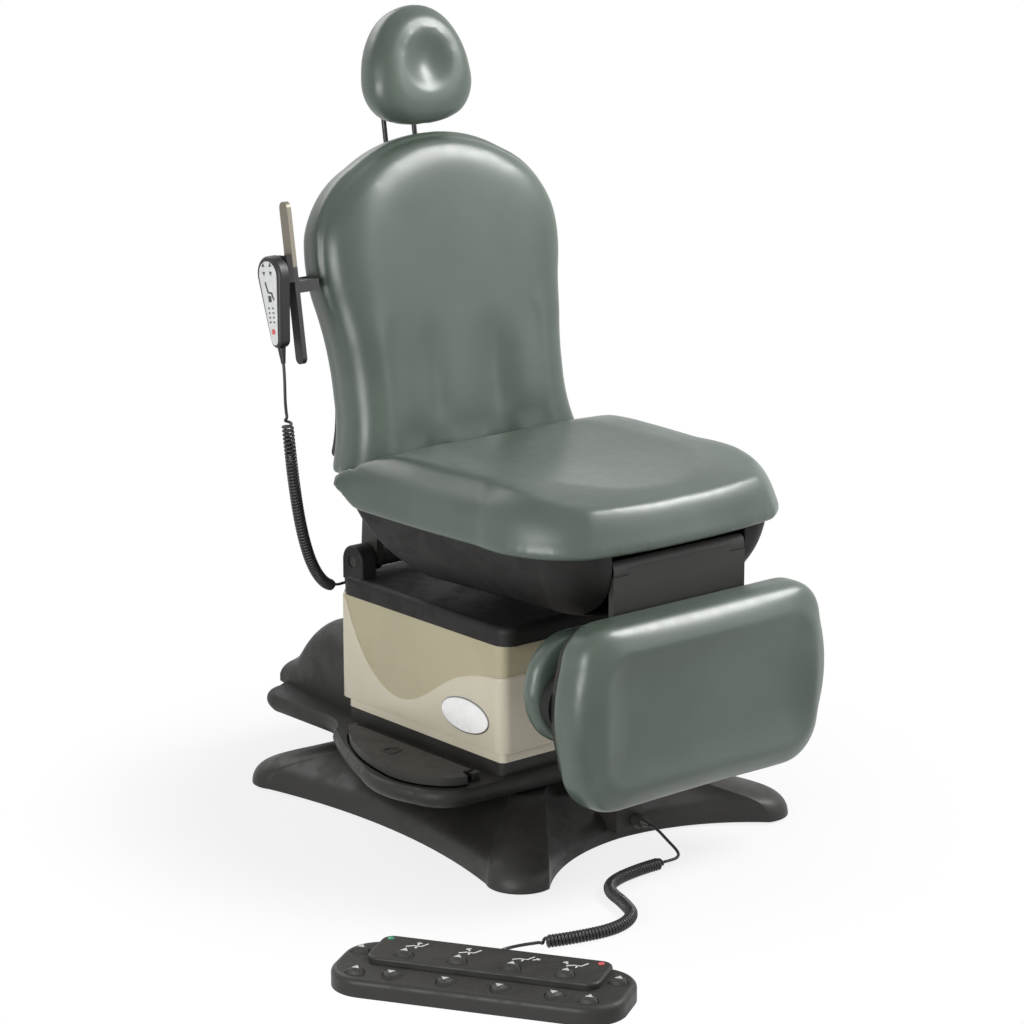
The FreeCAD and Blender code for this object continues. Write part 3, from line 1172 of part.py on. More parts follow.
def foot_shell():
    """The moulded back of the foot cushion, with the two guides of the extension."""
    back_n = FOOT_PAD_N - FOOT_SHELL_T
    plate = Part.Face(half_outline(FOOT_OUTLINE, FOOT_CENTRE, FOOT_SIZE, FOOT_SHELL_IN,
                                   back_n)).extrude(V(0, 0, FOOT_SHELL_T))
    guides = [box(x - EXT_ROD_R - 9, x + EXT_ROD_R + 9, EXT_GUIDE_LOW, EXT_GUIDE_LOW + EXT_GUIDE_H,
                  back_n - EXT_GUIDE_D, back_n)
              for x in (-EXT_ROD_X, EXT_ROD_X)]
    rod_n = back_n - EXT_GUIDE_D / 2
    bores = [rod(V(x, EXT_GUIDE_LOW - 1, rod_n), V(x, EXT_GUIDE_LOW + EXT_GUIDE_H + 1, rod_n),
                 EXT_ROD_R + RUN_GAP)
             for x in (-EXT_ROD_X, EXT_ROD_X)]
    pocket = box(-FOOT_PANEL_HALF - FIT_GAP, FOOT_PANEL_HALF + FIT_GAP, FOOT_PANEL_LOW - FIT_GAP, FOOT_HIGH,
                 PANEL_BACK_N - FIT_GAP, FOOT_PAD_N + 1)
    return placed(joined(plate, *guides).cut([pocket, *bores]), FOOT_PLACE)


EXT_ROD_N = FOOT_PAD_N - FOOT_SHELL_T - EXT_GUIDE_D / 2
EXT_FRONT_N = EXT_ROD_N - EXT_ROD_R - 6


def extension_rails():
    """Two guide rods joined by a bar that carries the extension pad."""
    rods = [rod(V(x, EXT_BAR_LOW, EXT_ROD_N), V(x, EXT_ROD_TOP, EXT_ROD_N),
                EXT_ROD_R) for x in (-EXT_ROD_X, EXT_ROD_X)]
    bar = box(-EXT_ROD_X - 20, EXT_ROD_X + 20, EXT_BAR_LOW, EXT_BAR_LOW + EXT_BAR_H, EXT_FRONT_N,
              EXT_ROD_N + EXT_ROD_R)
    return placed(joined(bar, *rods), FOOT_PLACE)


def extension_pad():
    outline = foot_outline(EXT_HALF, EXT_LOW, EXT_HIGH, EXT_R, EXT_R, EXT_BULGE)
    levels = [(EXT_FRONT_N - share * EXT_T, inset) for share, inset in
              ((0, 16), (0.2, 4), (0.5, 0), (0.8, 4), (1, 16))]
    cushion = pad(outline, (EXT_LOW + EXT_HIGH) / 2, (EXT_HALF, (EXT_HIGH - EXT_LOW) / 2), levels)
    return placed(cushion, FOOT_PLACE)


# Cords

CORD_SOCKET = V(-110, 285, 322)     # mouth of the handset cord's socket


def rounded_route(points):
    """Straight runs joined by tangent arcs, each as large as its two runs allow; returns edges and radii."""
    edges, radii, here = [], [], points[0]
    for before, corner, after in zip(points, points[1:], points[2:]):
        to_before, to_after = before.sub(corner), after.sub(corner)
        run = min(to_before.Length, to_after.Length)
        turn = math.pi - to_before.getAngle(to_after)
        reach = 0.45 * run
        radius = reach / math.tan(turn / 2)
        start = corner.add(to_before.normalize().multiply(reach))
        end = corner.add(to_after.normalize().multiply(reach))
        inward = start.add(end).multiply(0.5).sub(corner)
        middle = corner.add(inward.normalize().multiply(math.hypot(radius, reach) - radius))
        edges += [Part.LineSegment(here, start).toShape(), Part.Arc(start, middle, end).toShape()]
        radii.append(radius)
        here = end
    edges.append(Part.LineSegment(here, points[-1]).toShape())
    return edges, radii


def tube(edges, radius):
    """A round tube along tangent edges."""
    wire = Part.Wire(edges)
    first = edges[0]
    start = first.valueAt(first.FirstParameter)
    ahead = first.tangentAt(first.FirstParameter)
    profile = Part.Wire(Part.makeCircle(radius, start, ahead))
    solid = wire.makePipeShell([profile], True, False)
    drift = solid.Volume / (math.pi * radius ** 2 * wire.Length) - 1
    return solid, wire.Length, drift


def cord_lead(name, points):
    edges, radii = rounded_route(points)
    solid, length, drift = tube(edges, CORD_R)
    print(f"{name}: {length:.0f} mm, radii {[round(r) for r in radii]}, volume off by {drift:.4f}")
    return solid


def arc_through(start, ahead, end):
    """The arc that leaves start along ahead and reaches end."""
    chord = end.sub(start)
    unit = V(chord).normalize()
    bulge = ahead.sub(V(unit).multiply(ahead.dot(unit)))
    if bulge.Length < 1e-6:
        return Part.LineSegment(start, end).toShape()
    angle = math.acos(max(-1, min(1, ahead.dot(unit))))
    rise = chord.Length / 2 * math.tan(angle / 2)
    middle = start.add(end).multiply(0.5).add(bulge.normalize().multiply(rise))
    return Part.Arc(start, middle, end).toShape()


def biarc(p0, t0, p1, t1):
    """Two arcs that join p0 and p1 along their tangents."""
    v, t = p1.sub(p0), t0.add(t1)
    a, b, c = 2 * (1 - t0.dot(t1)), 2 * v.dot(t), -v.dot(v)
    d = -c / b if abs(a) < 1e-9 else (-b + math.sqrt(b * b - 4 * a * c)) / (2 * a)
    q0, q1 = p0.add(V(t0).multiply(d)), p1.sub(V(t1).multiply(d))
    joint = q0.add(q1).multiply(0.5)
    ahead = q1.sub(q0).normalize()
    return [arc_through(p0, t0, joint), arc_through(joint, ahead, p1)]


def curled(name, points, curls):
    """A curly cord along a route: one unbroken tube that opens into its curls and closes again.

    Returns the tube and, for each end, its place and the way the cord runs there.
    """
    spine = Part.Wire(rounded_route(points)[0])
    samples = spine.discretize(Number=curls * 24 + 1)
    normals, normal = [], V(0, 0, 1)
    last_step = samples[-1].sub(samples[-2])
    for here, there in zip(samples, samples[1:] + [samples[-1].add(last_step)]):
        ahead = there.sub(here).normalize()
        normal = normal.sub(V(ahead).multiply(normal.dot(ahead))).normalize()
        normals.append((V(normal), ahead.cross(normal)))

    def at(turn):
        spot = min(max(turn / curls, 0), 1) * (len(samples) - 1)
        low = min(int(spot), len(samples) - 2)
        part = spot - low
        centre = V(samples[low]).multiply(1 - part).add(V(samples[low + 1]).multiply(part))
        n0, b0 = normals[low]
        n1, b1 = normals[min(low + 1, len(normals) - 1)]
        n, b = V(n0).multiply(1 - part).add(V(n1).multiply(part)), V(b0).multiply(1 - part).add(V(b1).multiply(part))
        open_by = min(turn, curls - turn, 1)
        radius = CURL_R * open_by * open_by * (3 - 2 * open_by)
        angle = 2 * math.pi * turn
        return centre.add(n.multiply(radius * math.cos(angle))).add(b.multiply(radius * math.sin(angle)))

    step = 0.01
    start_dir = samples[1].sub(samples[0]).normalize()
    end_dir = samples[-1].sub(samples[-2]).normalize()
    nodes = [(at(0), start_dir)]
    turns = [0.25, 0.5, 0.75] + [1 + 0.5 * k for k in range(2 * curls - 3)] + [curls - 0.75, curls - 0.5, curls - 0.25]
    for turn in turns:
        nodes.append((at(turn), at(turn + step).sub(at(turn - step)).normalize()))
    nodes.append((at(curls), end_dir))
    straight = 2 * CORD_R
    first = nodes[0][0].sub(V(start_dir).multiply(straight))
    last = nodes[-1][0].add(V(end_dir).multiply(straight))
    edges = [Part.LineSegment(first, nodes[0][0]).toShape()]
    for (p0, t0), (p1, t1) in zip(nodes, nodes[1:]):
        edges += biarc(p0, t0, p1, t1)
    edges.append(Part.LineSegment(nodes[-1][0], last).toShape())
    solid, length, drift = tube(edges, CORD_R)
    line = Part.Wire(edges).discretize(Distance=1.2)
    skip = int(0.6 * 2 * math.pi * CURL_R / 1.2)
    least = min(line[i].distanceToPoint(line[j]) for i in range(0, len(line), 2)
                for j in range(i + skip, min(i + 5 * skip, len(line)), 2)) - 2 * CORD_R
    print(f"{name}: {curls} curls, {length:.0f} mm of cord, least gap {least:.2f} mm, volume off by {drift:.4f}")
    return solid, (first, start_dir), (last, end_dir)


def handset_exit():
    return BACK_PLACE.multVec(V(HANDSET_MID_X, RELIEF_LOW_V, HANDSET_N))


HAND_ROUTE = [V(-325, 157, 660), V(-319, 157, 600), V(-303, 172, 552), V(-285, 189, 508), V(-268, 203, 466),
              V(-248, 218, 425),
              V(-226, 233, 388), V(-199, 249, 355), V(-168, 267, 331), V(-140, 281, 323.5)]
FOOT_ROUTE = [V(-28, -402, 10.4), V(-84, -401, 10.4), V(-146, -411, 10.4), V(-180, -438, 10.4),
              V(-195, -490, 10.4),
              V(-218, -540, 10.4), V(-274, -563, 10.4), V(-346, -549, 10.4), V(-398, -530, 10.4)]


def before(end, length):
    """A point on the straight run that leads into a cord's end."""
    place, ahead = end
    return place.sub(V(ahead).multiply(length))


def handset_cord():
    curl, top, low = curled("handset_cord_curl", HAND_ROUTE, HAND_CURLS)
    start = handset_exit()
    down = BACK_PLACE.Rotation.multVec(V(0, -1, 0))
    lead = cord_lead("handset lead", [start, start.add(down.multiply(16)), before(top, 14), top[0]])
    tail = cord_lead("handset tail", [low[0], before(low, -6), CORD_SOCKET.sub(V(10, 0, 0)), CORD_SOCKET])
    return curl, Part.makeCompound([lead, tail])


def foot_cord():
    curl, near, far = curled("foot_cord_curl", FOOT_ROUTE, FOOT_CURLS)
    start = plug_end()
    lead = cord_lead("foot lead", [start, V(start.x, start.y - 14, start.z), V(start.x, start.y - 42, 22),
                                   V(start.x - 3, start.y - 72, 11.5), before(near, 18), near[0]])
    entry = CONTROL_PLACE.multVec(V(-20, CONTROL_D / 2, 9))
    out = CONTROL_PLACE.multVec(V(-20, CONTROL_D / 2 + 30, 9))
    tail = cord_lead("foot tail", [far[0], before(far, -12), V(-434, -514, 8), V(-454, -513, 7.5), out,
                                   entry])
    return curl, Part.makeCompound([lead, tail])


def handset_socket():
    return rod(CORD_SOCKET, V(CORD_SOCKET.x + 18, CORD_SOCKET.y, CORD_SOCKET.z), 12)


def build():
    hand_curl, hand_leads = handset_cord()
    foot_curl, foot_leads = foot_cord()
    pedal = brake_pedal()
    nodes = {
        "base_cover": base_cover(), "base_frame": base_frame(), "levelling_feet": levelling_feet(),
        "slew_ring": slew_ring(),
        "foot_socket": foot_socket(), "foot_plug": foot_plug(), "foot_cord_curl": foot_curl,
        "foot_cord_leads": foot_leads,
        "foot_control_housing": foot_control_housing(),
        "turntable_plate": turntable_plate(), "deck_cover": deck_cover(), "power_inlet": power_inlet(),
        "lift_motor": lift_motor(),
        "brake_pedal_left": pedal, "brake_pedal_right": mirrored(pedal),
        "shroud_lower": shroud(2, PLINTH_TOP, LOWER_SHROUD_TOP),
        "shroud_middle": shroud(1, SHROUD_LOW + 1, MIDDLE_TOP),
        "shroud_upper": shroud(0, SHROUD_LOW, SHROUD_TOP),
        "lift_column_lower": column(0, PLATE_TOP, LOWER_SHROUD_TOP - COLUMN_TOP_DROP),
        "lift_column_middle": lift_column_middle(),
        "lift_column_upper": column(2, PLATE_TOP + 8, ROOF_LOW),
        "top_cover": top_cover(), "tilt_actuator": tilt_actuator(), "tilt_rod": tilt_rod(),
        "seat_frame": seat_frame(), "seat_pan": seat_pan(), "seat_cushion": seat_cushion(),
        "seat_actuators": seat_actuators(),
        "handset_socket": handset_socket(), "handset_cord_curl": hand_curl, "handset_cord_leads": hand_leads,
        "back_rod": back_rod(), "foot_rod": foot_rod(),
        "back_frame": back_frame(), "back_cushion": back_cushion(), "headrest_guides": headrest_guides(),
        "accessory_rail": accessory_rail(), "handset_cradle": handset_cradle(),
        "headrest_rods": headrest_rods(), "headrest_bracket": headrest_bracket(),
        "headrest_pad": headrest_pad(),
        "handset_shell": handset_shell(), "handset_strain_relief": handset_strain_relief(),
        "foot_frame": foot_frame(), "foot_shell": foot_shell(), "foot_cushion": foot_cushion(),
        "extension_rails": extension_rails(), "extension_pad": extension_pad(),
    }
    for name, place in control_buttons().items():
        nodes[name] = control_button(*place)
    return nodes


def main():
    os.makedirs("parts", exist_ok=True)
    for name, shape in build().items():
        if not shape.isValid():
            print(f"{name} is not a valid shape")
        shape.exportStep(f"parts/{name}.step")


main()
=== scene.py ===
"""Looks of a powered procedure chair: upholstery, mouldings, cords, trim, studio and camera."""
from __future__ import annotations

import json
import logging
import math
from dataclasses import dataclass, field
from enum import Enum
from typing import Callable, Iterable, Optional, Sequence, Union

import bmesh
import bpy
import numpy as np
from mathutils import Matrix, Vector

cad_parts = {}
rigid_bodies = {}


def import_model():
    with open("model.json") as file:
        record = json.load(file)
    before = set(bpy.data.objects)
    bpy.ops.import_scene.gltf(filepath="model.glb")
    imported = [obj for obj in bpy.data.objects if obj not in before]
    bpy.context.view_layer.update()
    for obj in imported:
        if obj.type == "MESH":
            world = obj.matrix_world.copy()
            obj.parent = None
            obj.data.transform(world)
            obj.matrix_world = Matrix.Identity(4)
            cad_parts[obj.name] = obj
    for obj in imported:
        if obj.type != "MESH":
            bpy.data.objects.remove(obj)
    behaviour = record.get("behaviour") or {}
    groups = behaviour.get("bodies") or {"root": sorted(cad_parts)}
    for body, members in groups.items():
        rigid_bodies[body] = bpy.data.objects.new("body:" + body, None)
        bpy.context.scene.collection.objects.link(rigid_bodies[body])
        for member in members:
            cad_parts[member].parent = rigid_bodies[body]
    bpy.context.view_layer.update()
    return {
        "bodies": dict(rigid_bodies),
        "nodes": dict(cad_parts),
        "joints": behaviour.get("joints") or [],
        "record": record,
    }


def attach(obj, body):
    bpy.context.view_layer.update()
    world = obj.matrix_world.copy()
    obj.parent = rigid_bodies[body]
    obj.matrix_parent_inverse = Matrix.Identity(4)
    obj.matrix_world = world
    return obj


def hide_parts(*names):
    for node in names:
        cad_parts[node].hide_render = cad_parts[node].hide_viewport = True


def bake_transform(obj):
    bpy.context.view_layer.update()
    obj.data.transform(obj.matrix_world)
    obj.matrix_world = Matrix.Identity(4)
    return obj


log = logging.getLogger("procedure_chair")
Number = Union[int, float]
Colour = tuple[float, float, float, float]
Point = tuple[float, float, float]


def srgb(code: str) -> Colour:
    """Turn a hex colour as seen on a screen into a linear one.

    Args:
        code: Six hex digits.

    Returns:
        The linear colour, opaque.
    """
    parts = [int(code[i:i + 2], 16) / 255 for i in (0, 2, 4)]
    linear = [p / 12.92 if p <= 0.04045 else ((p + 0.055) / 1.055) ** 2.4 for p in parts]
    return (linear[0], linear[1], linear[2], 1.0)


def shaded(tone: Colour, share: float) -> Colour:
    """A lighter or darker tone of a colour."""
    return (min(1.0, tone[0] * share), min(1.0, tone[1] * share), min(1.0, tone[2] * share), 1.0)


class Mark(Enum):
    """Line marks on the foot control: what each pair of buttons moves."""

    LIFT = "lift"
    TILT = "tilt"
    BACK = "back"
    FOOT = "foot"


class Sock:
    """A shader socket that takes part in arithmetic."""

    def __init__(self, graph: Graph, socket: bpy.types.NodeSocket) -> None:
        """Keep the graph that owns the socket."""
        self.graph = graph
        self.socket = socket

    def _math(self, operation: str, first: Operand, second: Operand) -> Sock:
        """Add one Math node."""
        return self.graph.node("ShaderNodeMath", {"operation": operation}, {0: first, 1: second})

    def __add__(self, other: Operand) -> Sock:
        """Sum of two values."""
        return self._math("ADD", self, other)

    def __radd__(self, other: Operand) -> Sock:
        """Sum with a number on the left."""
        return self._math("ADD", other, self)

    def __sub__(self, other: Operand) -> Sock:
        """Difference of two values."""
        return self._math("SUBTRACT", self, other)

    def __rsub__(self, other: Operand) -> Sock:
        """Difference from a number on the left."""
        return self._math("SUBTRACT", other, self)

    def __mul__(self, other: Operand) -> Sock:
        """Product of two values."""
        return self._math("MULTIPLY", self, other)

    def __rmul__(self, other: Operand) -> Sock:
        """Product with a number on the left."""
        return self._math("MULTIPLY", other, self)

    def largest(self, other: Operand) -> Sock:
        """Larger of two values."""
        return self._math("MAXIMUM", self, other)


Operand = Union[Sock, Number]


class Graph:
    """A material's node tree."""

    def __init__(self, name: str) -> None:
        """Start an empty material.

        Args:
            name: The material's name.
        """
        self.material = bpy.data.materials.new(name)
        self.material.use_nodes = True
        self.tree = self.material.node_tree
        self.tree.nodes.clear()
        self.output = self.tree.nodes.new("ShaderNodeOutputMaterial")

    def node(self, kind: str, settings: Optional[dict] = None, inputs: Optional[dict] = None,
             output: Union[int, str] = 0) -> Sock:
        """Add one node.

        Args:
            kind: The node's type.
            settings: Its properties, set first.
            inputs: Values or links by socket name or number.
            output: The socket that is handed back.

        Returns:
            The chosen output socket.
        """
        made = self.tree.nodes.new(kind)
        for key, value in (settings or {}).items():
            setattr(made, key, value)
        for key, value in (inputs or {}).items():
            if isinstance(value, Sock):
                self.tree.links.new(value.socket, made.inputs[key])
            else:
                made.inputs[key].default_value = value
        return Sock(self, made.outputs[output])

    def coords(self) -> Sock:
        """Object coordinates in metres."""
        return self.node("ShaderNodeTexCoord", output="Object")

    def noise(self, scale: Number, detail: Number = 3.0, rough: Number = 0.5) -> Sock:
        """Noise by object coordinates, with a scale in cycles per metre."""
        return self.node("ShaderNodeTexNoise", {"noise_dimensions": "3D"},
                         {"Vector": self.coords(), "Scale": scale, "Detail": detail, "Roughness": rough})

    def brushed(self, scale: Point) -> Sock:
        """Noise drawn out into lines, with a scale in cycles per metre along each axis."""
        stretched = self.node("ShaderNodeMapping", None, {"Vector": self.coords(), "Scale": scale})
        return self.node("ShaderNodeTexNoise", None, {"Vector": stretched, "Scale": 1.0, "Detail": 4.0})

    def cells(self, scale: Number) -> Sock:
        """Distance to the edges of a cell pattern by object coordinates."""
        return self.node("ShaderNodeTexVoronoi", {"feature": "DISTANCE_TO_EDGE"},
                         {"Vector": self.coords(), "Scale": scale}, "Distance")

    def span(self, value: Sock, low: Number, high: Number, start: Number = 0.0, end: Number = 1.0) -> Sock:
        """Map a value from low..high to start..end, clamped."""
        return self.node("ShaderNodeMapRange", {"clamp": True, "interpolation_type": "SMOOTHSTEP"},
                         {"Value": value, "From Min": low, "From Max": high, "To Min": start, "To Max": end})

    def mix(self, share: Operand, first: Union[Sock, Colour], second: Union[Sock, Colour]) -> Sock:
        """Mix two colours."""
        return self.node("ShaderNodeMix", {"data_type": "RGBA"}, {0: share, 6: first, 7: second}, 2)

    def bump(self, height: Sock, depth: Number, strength: Number) -> Sock:
        """Bump from a height; depth is in metres."""
        return self.node("ShaderNodeBump", None, {"Height": height, "Distance": depth, "Strength": strength})

    def axis(self, name: str) -> Sock:
        """One of the object coordinates, by its letter."""
        return self.node("ShaderNodeSeparateXYZ", None, {0: self.coords()}, name)

    def seen(self) -> Sock:
        """1 for rays that show the background: straight, mirrored or through glass."""
        straight, mirrored, through = (self.node("ShaderNodeLightPath", output=f"Is {kind} Ray")
                                       for kind in ("Camera", "Glossy", "Transmission"))
        return straight.largest(mirrored).largest(through)

    def close(self, shader: Sock) -> None:
        """Link a shader to the output."""
        self.tree.links.new(shader.socket, self.output.inputs["Surface"])

    def surface(self, **inputs: Union[Sock, Number, Colour]) -> bpy.types.Material:
        """Close the graph with a Principled shader.

        Args:
            **inputs: Socket names with underscores for blanks.

        Returns:
            The finished material.
        """
        named = {key.replace("_", " "): value for key, value in inputs.items()}
        shader = self.node("ShaderNodeBsdfPrincipled", None, named)
        self.close(shader)
        return self.material


class WorldGraph(Graph):
    """The surroundings' node tree."""

    def __init__(self, name: str) -> None:
        """Start empty surroundings.

        Args:
            name: Their name.
        """
        self.world = bpy.data.worlds.new(name)
        self.world.use_nodes = True
        self.tree = self.world.node_tree
        self.tree.nodes.clear()
        self.output = self.tree.nodes.new("ShaderNodeOutputWorld")


@dataclass(frozen=True)
class Finish:
    """A surface finish; each kind builds one shared material.

    Attributes:
        name: The material's name.
        colour: Its colour as six hex digits.
    """

    name: str
    colour: str

    def make(self) -> bpy.types.Material:
        """Build the material; overridden by each kind."""
        raise NotImplementedError

    def material(self) -> bpy.types.Material:
        """The shared material, made on first use."""
        return bpy.data.materials.get(self.name) or self.make()


@dataclass(frozen=True)
class Vinyl(Finish):
    """Satin upholstery vinyl with a fine leather grain.

    Attributes:
        grain: Grain in cycles per metre.
        depth: Depth of the grain.
        rough: Roughness of the cover.
        coat: Weight of the top coat.
        coat_rough: Roughness of the top coat.
    """

    grain: float = 420.0
    depth: float = 0.00005
    rough: float = 0.38
    coat: float = 0.20
    coat_rough: float = 0.28

    def make(self) -> bpy.types.Material:
        """Build grain, gentle tone drift and worn sheen."""
        g = Graph(self.name)
        tone = srgb(self.colour)
        dark = shaded(tone, 0.86)
        pits = g.span(g.cells(self.grain), 0.0, 0.30)
        colour = g.mix(g.span(g.noise(5.0, 3.0), 0.35, 0.65), dark, shaded(tone, 1.10))
        colour = g.mix(g.span(pits, 0.0, 1.0, 0.08, 0.0), colour, dark)
        height = pits * 0.15 + g.noise(self.grain, 1.0) * 0.85
        rough = g.span(g.noise(60.0, 4.0, 0.6), 0.3, 0.7, self.rough - 0.02, self.rough + 0.03)
        return g.surface(Base_Color=colour, Roughness=rough, Specular_IOR_Level=0.5, Coat_Weight=self.coat,
                         Coat_Roughness=self.coat_rough, Normal=g.bump(height, self.depth, 0.22))


@dataclass(frozen=True)
class Moulded(Finish):
    """Moulded plastic with a fine spark-eroded grain.

    Attributes:
        rough: Roughness of the skin.
        grain: Grain in cycles per metre.
        depth: Depth of the grain.
        drift: How far the tone strays each way, as a share.
        gloss: Strength of the gloss.
    """

    rough: float = 0.5
    grain: float = 1400.0
    depth: float = 0.00008
    drift: float = 0.10
    gloss: float = 0.45

    def make(self) -> bpy.types.Material:
        """Build grain, tone drift and handling marks in the gloss."""
        g = Graph(self.name)
        tone = srgb(self.colour)
        share = g.span(g.noise(9.0, 4.0), 0.35, 0.65)
        colour = g.mix(share, shaded(tone, 1 - self.drift), shaded(tone, 1 + self.drift))
        marks = g.span(g.noise(26.0, 5.0, 0.65), 0.40, 0.66)
        rough = g.span(marks, 0.0, 1.0, self.rough - 0.06, self.rough + 0.07)
        height = g.noise(self.grain, 2.0, 0.6)
        return g.surface(Base_Color=colour, Roughness=rough, Specular_IOR_Level=self.gloss,
                         Normal=g.bump(height, self.depth, 0.45))


@dataclass(frozen=True)
class Metal(Finish):
    """Ground, plated or powder-coated metal.

    Attributes:
        metallic: 1 for bare metal, 0 under a coat.
        rough: Roughness of the surface.
        brush: Drawn lines in cycles per metre along each axis.
    """

    metallic: float = 1.0
    rough: float = 0.3
    brush: Point = (40.0, 40.0, 900.0)

    def make(self) -> bpy.types.Material:
        """Build fine drawn lines and tone drift."""
        g = Graph(self.name)
        tone = srgb(self.colour)
        lines = g.brushed(self.brush)
        colour = g.mix(g.span(g.noise(14.0, 3.0), 0.3, 0.7), shaded(tone, 0.85), tone)
        rough = g.span(lines, 0.3, 0.7, self.rough - 0.06, self.rough + 0.08)
        return g.surface(Base_Color=colour, Metallic=self.metallic, Roughness=rough,
                         Normal=g.bump(lines, 0.00005, 0.25))


@dataclass(frozen=True)
class BarWithPaintedDarkEnd(Finish):
    """Anodised bar with a black arm; the bar's lower end is painted black as a painted dark reflection.

    Attributes:
        lower: Colour of the black arm, and of the painted dark reflection on the bar's lower end.
        split: Height below which the bar is painted black as a painted dark reflection.
        inner: Where the arm begins, across the object.
        brush: Drawn lines in cycles per metre along each axis.
    """

    lower: str = "1c1c1d"
    split: float = 0.886
    inner: float = -0.2925
    brush: Point = (900.0, 900.0, 30.0)

    def make(self) -> bpy.types.Material:
        """Build bare metal above the split, and black below it: a painted dark reflection on the bar, and the arm's own
        black beyond inner.
        """
        g = Graph(self.name)
        # bare is 0 below the split, where a dark reflection is painted in black, and beyond inner, on the black arm
        bare = g.span(g.axis("Z"), self.split - 0.001, self.split + 0.001)
        bare = bare * (1 - g.span(g.axis("X"), self.inner - 0.0005, self.inner + 0.0005))
        lines = g.brushed(self.brush)
        colour = g.mix(bare, srgb(self.lower), srgb(self.colour))
        rough = g.span(lines, 0.3, 0.7, 0.36, 0.48) + (1 - bare) * 0.04
        return g.surface(Base_Color=colour, Metallic=bare * 0.7, Roughness=rough,
                         Normal=g.bump(lines, 0.00004, 0.25))


@dataclass(frozen=True)
class Printed(Finish):
    """Flat printed or clear-coated trim.

    Attributes:
        rough: Roughness of the print.
        coat: Weight of the clear coat.
    """

    rough: float = 0.35
    coat: float = 0.3

    def make(self) -> bpy.types.Material:
        """Build a smooth coat with a trace of print mottle."""
        g = Graph(self.name)
        tone = srgb(self.colour)
        colour = g.mix(g.span(g.noise(120.0, 3.0), 0.3, 0.7), shaded(tone, 0.94), tone)
        rough = g.span(g.noise(300.0), 0.3, 0.7, self.rough - 0.04, self.rough + 0.04)
        return g.surface(Base_Color=colour, Roughness=rough, Coat_Weight=self.coat, Coat_Roughness=0.12)


VINYL = Vinyl("sage_vinyl", "49554c")
CHARCOAL = Moulded("charcoal_moulding", "292826", rough=0.52, gloss=0.32)
PAN_BLACK = Moulded("pan_moulding", "1a1918", rough=0.58, gloss=0.25)
DECK_BLACK = Moulded("deck_moulding", "252422", rough=0.55, grain=1100.0, depth=0.00010, gloss=0.32)
PEDAL_BLACK = Moulded("pedal_moulding", "2b2a28", rough=0.58, grain=900.0, depth=0.00012, gloss=0.32)
BEIGE_LIGHT = Moulded("beige_light", "cbc4b0", rough=0.42, grain=1600.0, depth=0.00005, drift=0.025)
BEIGE_DARK = Moulded("beige_dark", "b0a88c", rough=0.44, grain=1600.0, depth=0.00005, drift=0.03)
HANDSET_BLACK = Moulded("handset_moulding", "1e1e1f", rough=0.4, grain=1800.0)
POWDER = Metal("black_powder_coat", "232220", metallic=0.0, rough=0.5, brush=(700.0, 700.0, 700.0))
STEEL = Metal("ground_steel", "b9babb", rough=0.26)
# the rail's lower end carries a painted dark reflection in black
ALLOY = BarWithPaintedDarkEnd("anodised_rail", "7d786c")
SHEATH = Moulded("cord_sheath", "1b1b1c", rough=0.38, grain=2400.0, depth=0.00003)
RUBBER = Moulded("foot_rubber", "242424", rough=0.75)
BADGE_WHITE = Printed("badge_enamel", "fafaf8")
LABEL_WHITE = Printed("label_film", "dcdedd")
ICON_WHITE = Printed("icon_print", "e6e6e3", rough=0.45, coat=0.0)
ICON_GREY = Printed("icon_grey", "3c3f42", rough=0.45, coat=0.0)
LABEL_GREY = Printed("arrow_print", "c6c8c7", rough=0.45, coat=0.0)
SIGNAL_RED = Printed("signal_red", "d8595b")
SIGNAL_GREEN = Printed("signal_green", "3f9b74")
ZINC = Metal("zinc_trim", "8a8b8c", rough=0.35)


def dress(node: str, finish: Finish) -> None:
    """Give a CAD node a finish.

    Args:
        node: The node's name.
        finish: What it is made of.
    """
    mesh = FRAME["nodes"][node].data
    mesh.materials.clear()
    mesh.materials.append(finish.material())


def publish(name: str, bm: bmesh.types.BMesh, finish: Finish, body: str,
            place: Optional[Matrix] = None, angle: float = 40.0) -> bpy.types.Object:
    """Turn a bmesh into a piece that rides on a body.

    Args:
        name: The piece's name.
        bm: Its shape; freed here.
        finish: What it is made of.
        body: The CAD body that carries it.
        place: Where the shape goes in the row frame.
        angle: Edges sharper than this stay crisp, in degrees.

    Returns:
        The new object.
    """
    if place is not None:
        bmesh.ops.transform(bm, matrix=place, verts=bm.verts)
    bmesh.ops.recalc_face_normals(bm, faces=bm.faces)
    mesh = bpy.data.meshes.new(name)
    bm.to_mesh(mesh)
    bm.free()
    piece = as_piece(name, mesh, finish, angle)
    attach(piece, body)
    return piece


def as_piece(name: str, mesh: bpy.types.Mesh, finish: Finish, angle: float = 180.0) -> bpy.types.Object:
    """Link a mesh as an object with its finish.

    Args:
        name: The piece's name.
        mesh: Its mesh.
        finish: What it is made of.
        angle: Edges sharper than this stay crisp, in degrees.

    Returns:
        The new object, not riding yet.
    """
    mesh.materials.clear()
    mesh.materials.append(finish.material())
    mesh.shade_smooth()
    mesh.set_sharp_from_angle(angle=math.radians(angle))
    piece = bpy.data.objects.new(name, mesh)
    bpy.context.scene.collection.objects.link(piece)
    log.info("piece %s: %d faces", name, len(mesh.polygons))
    return piece


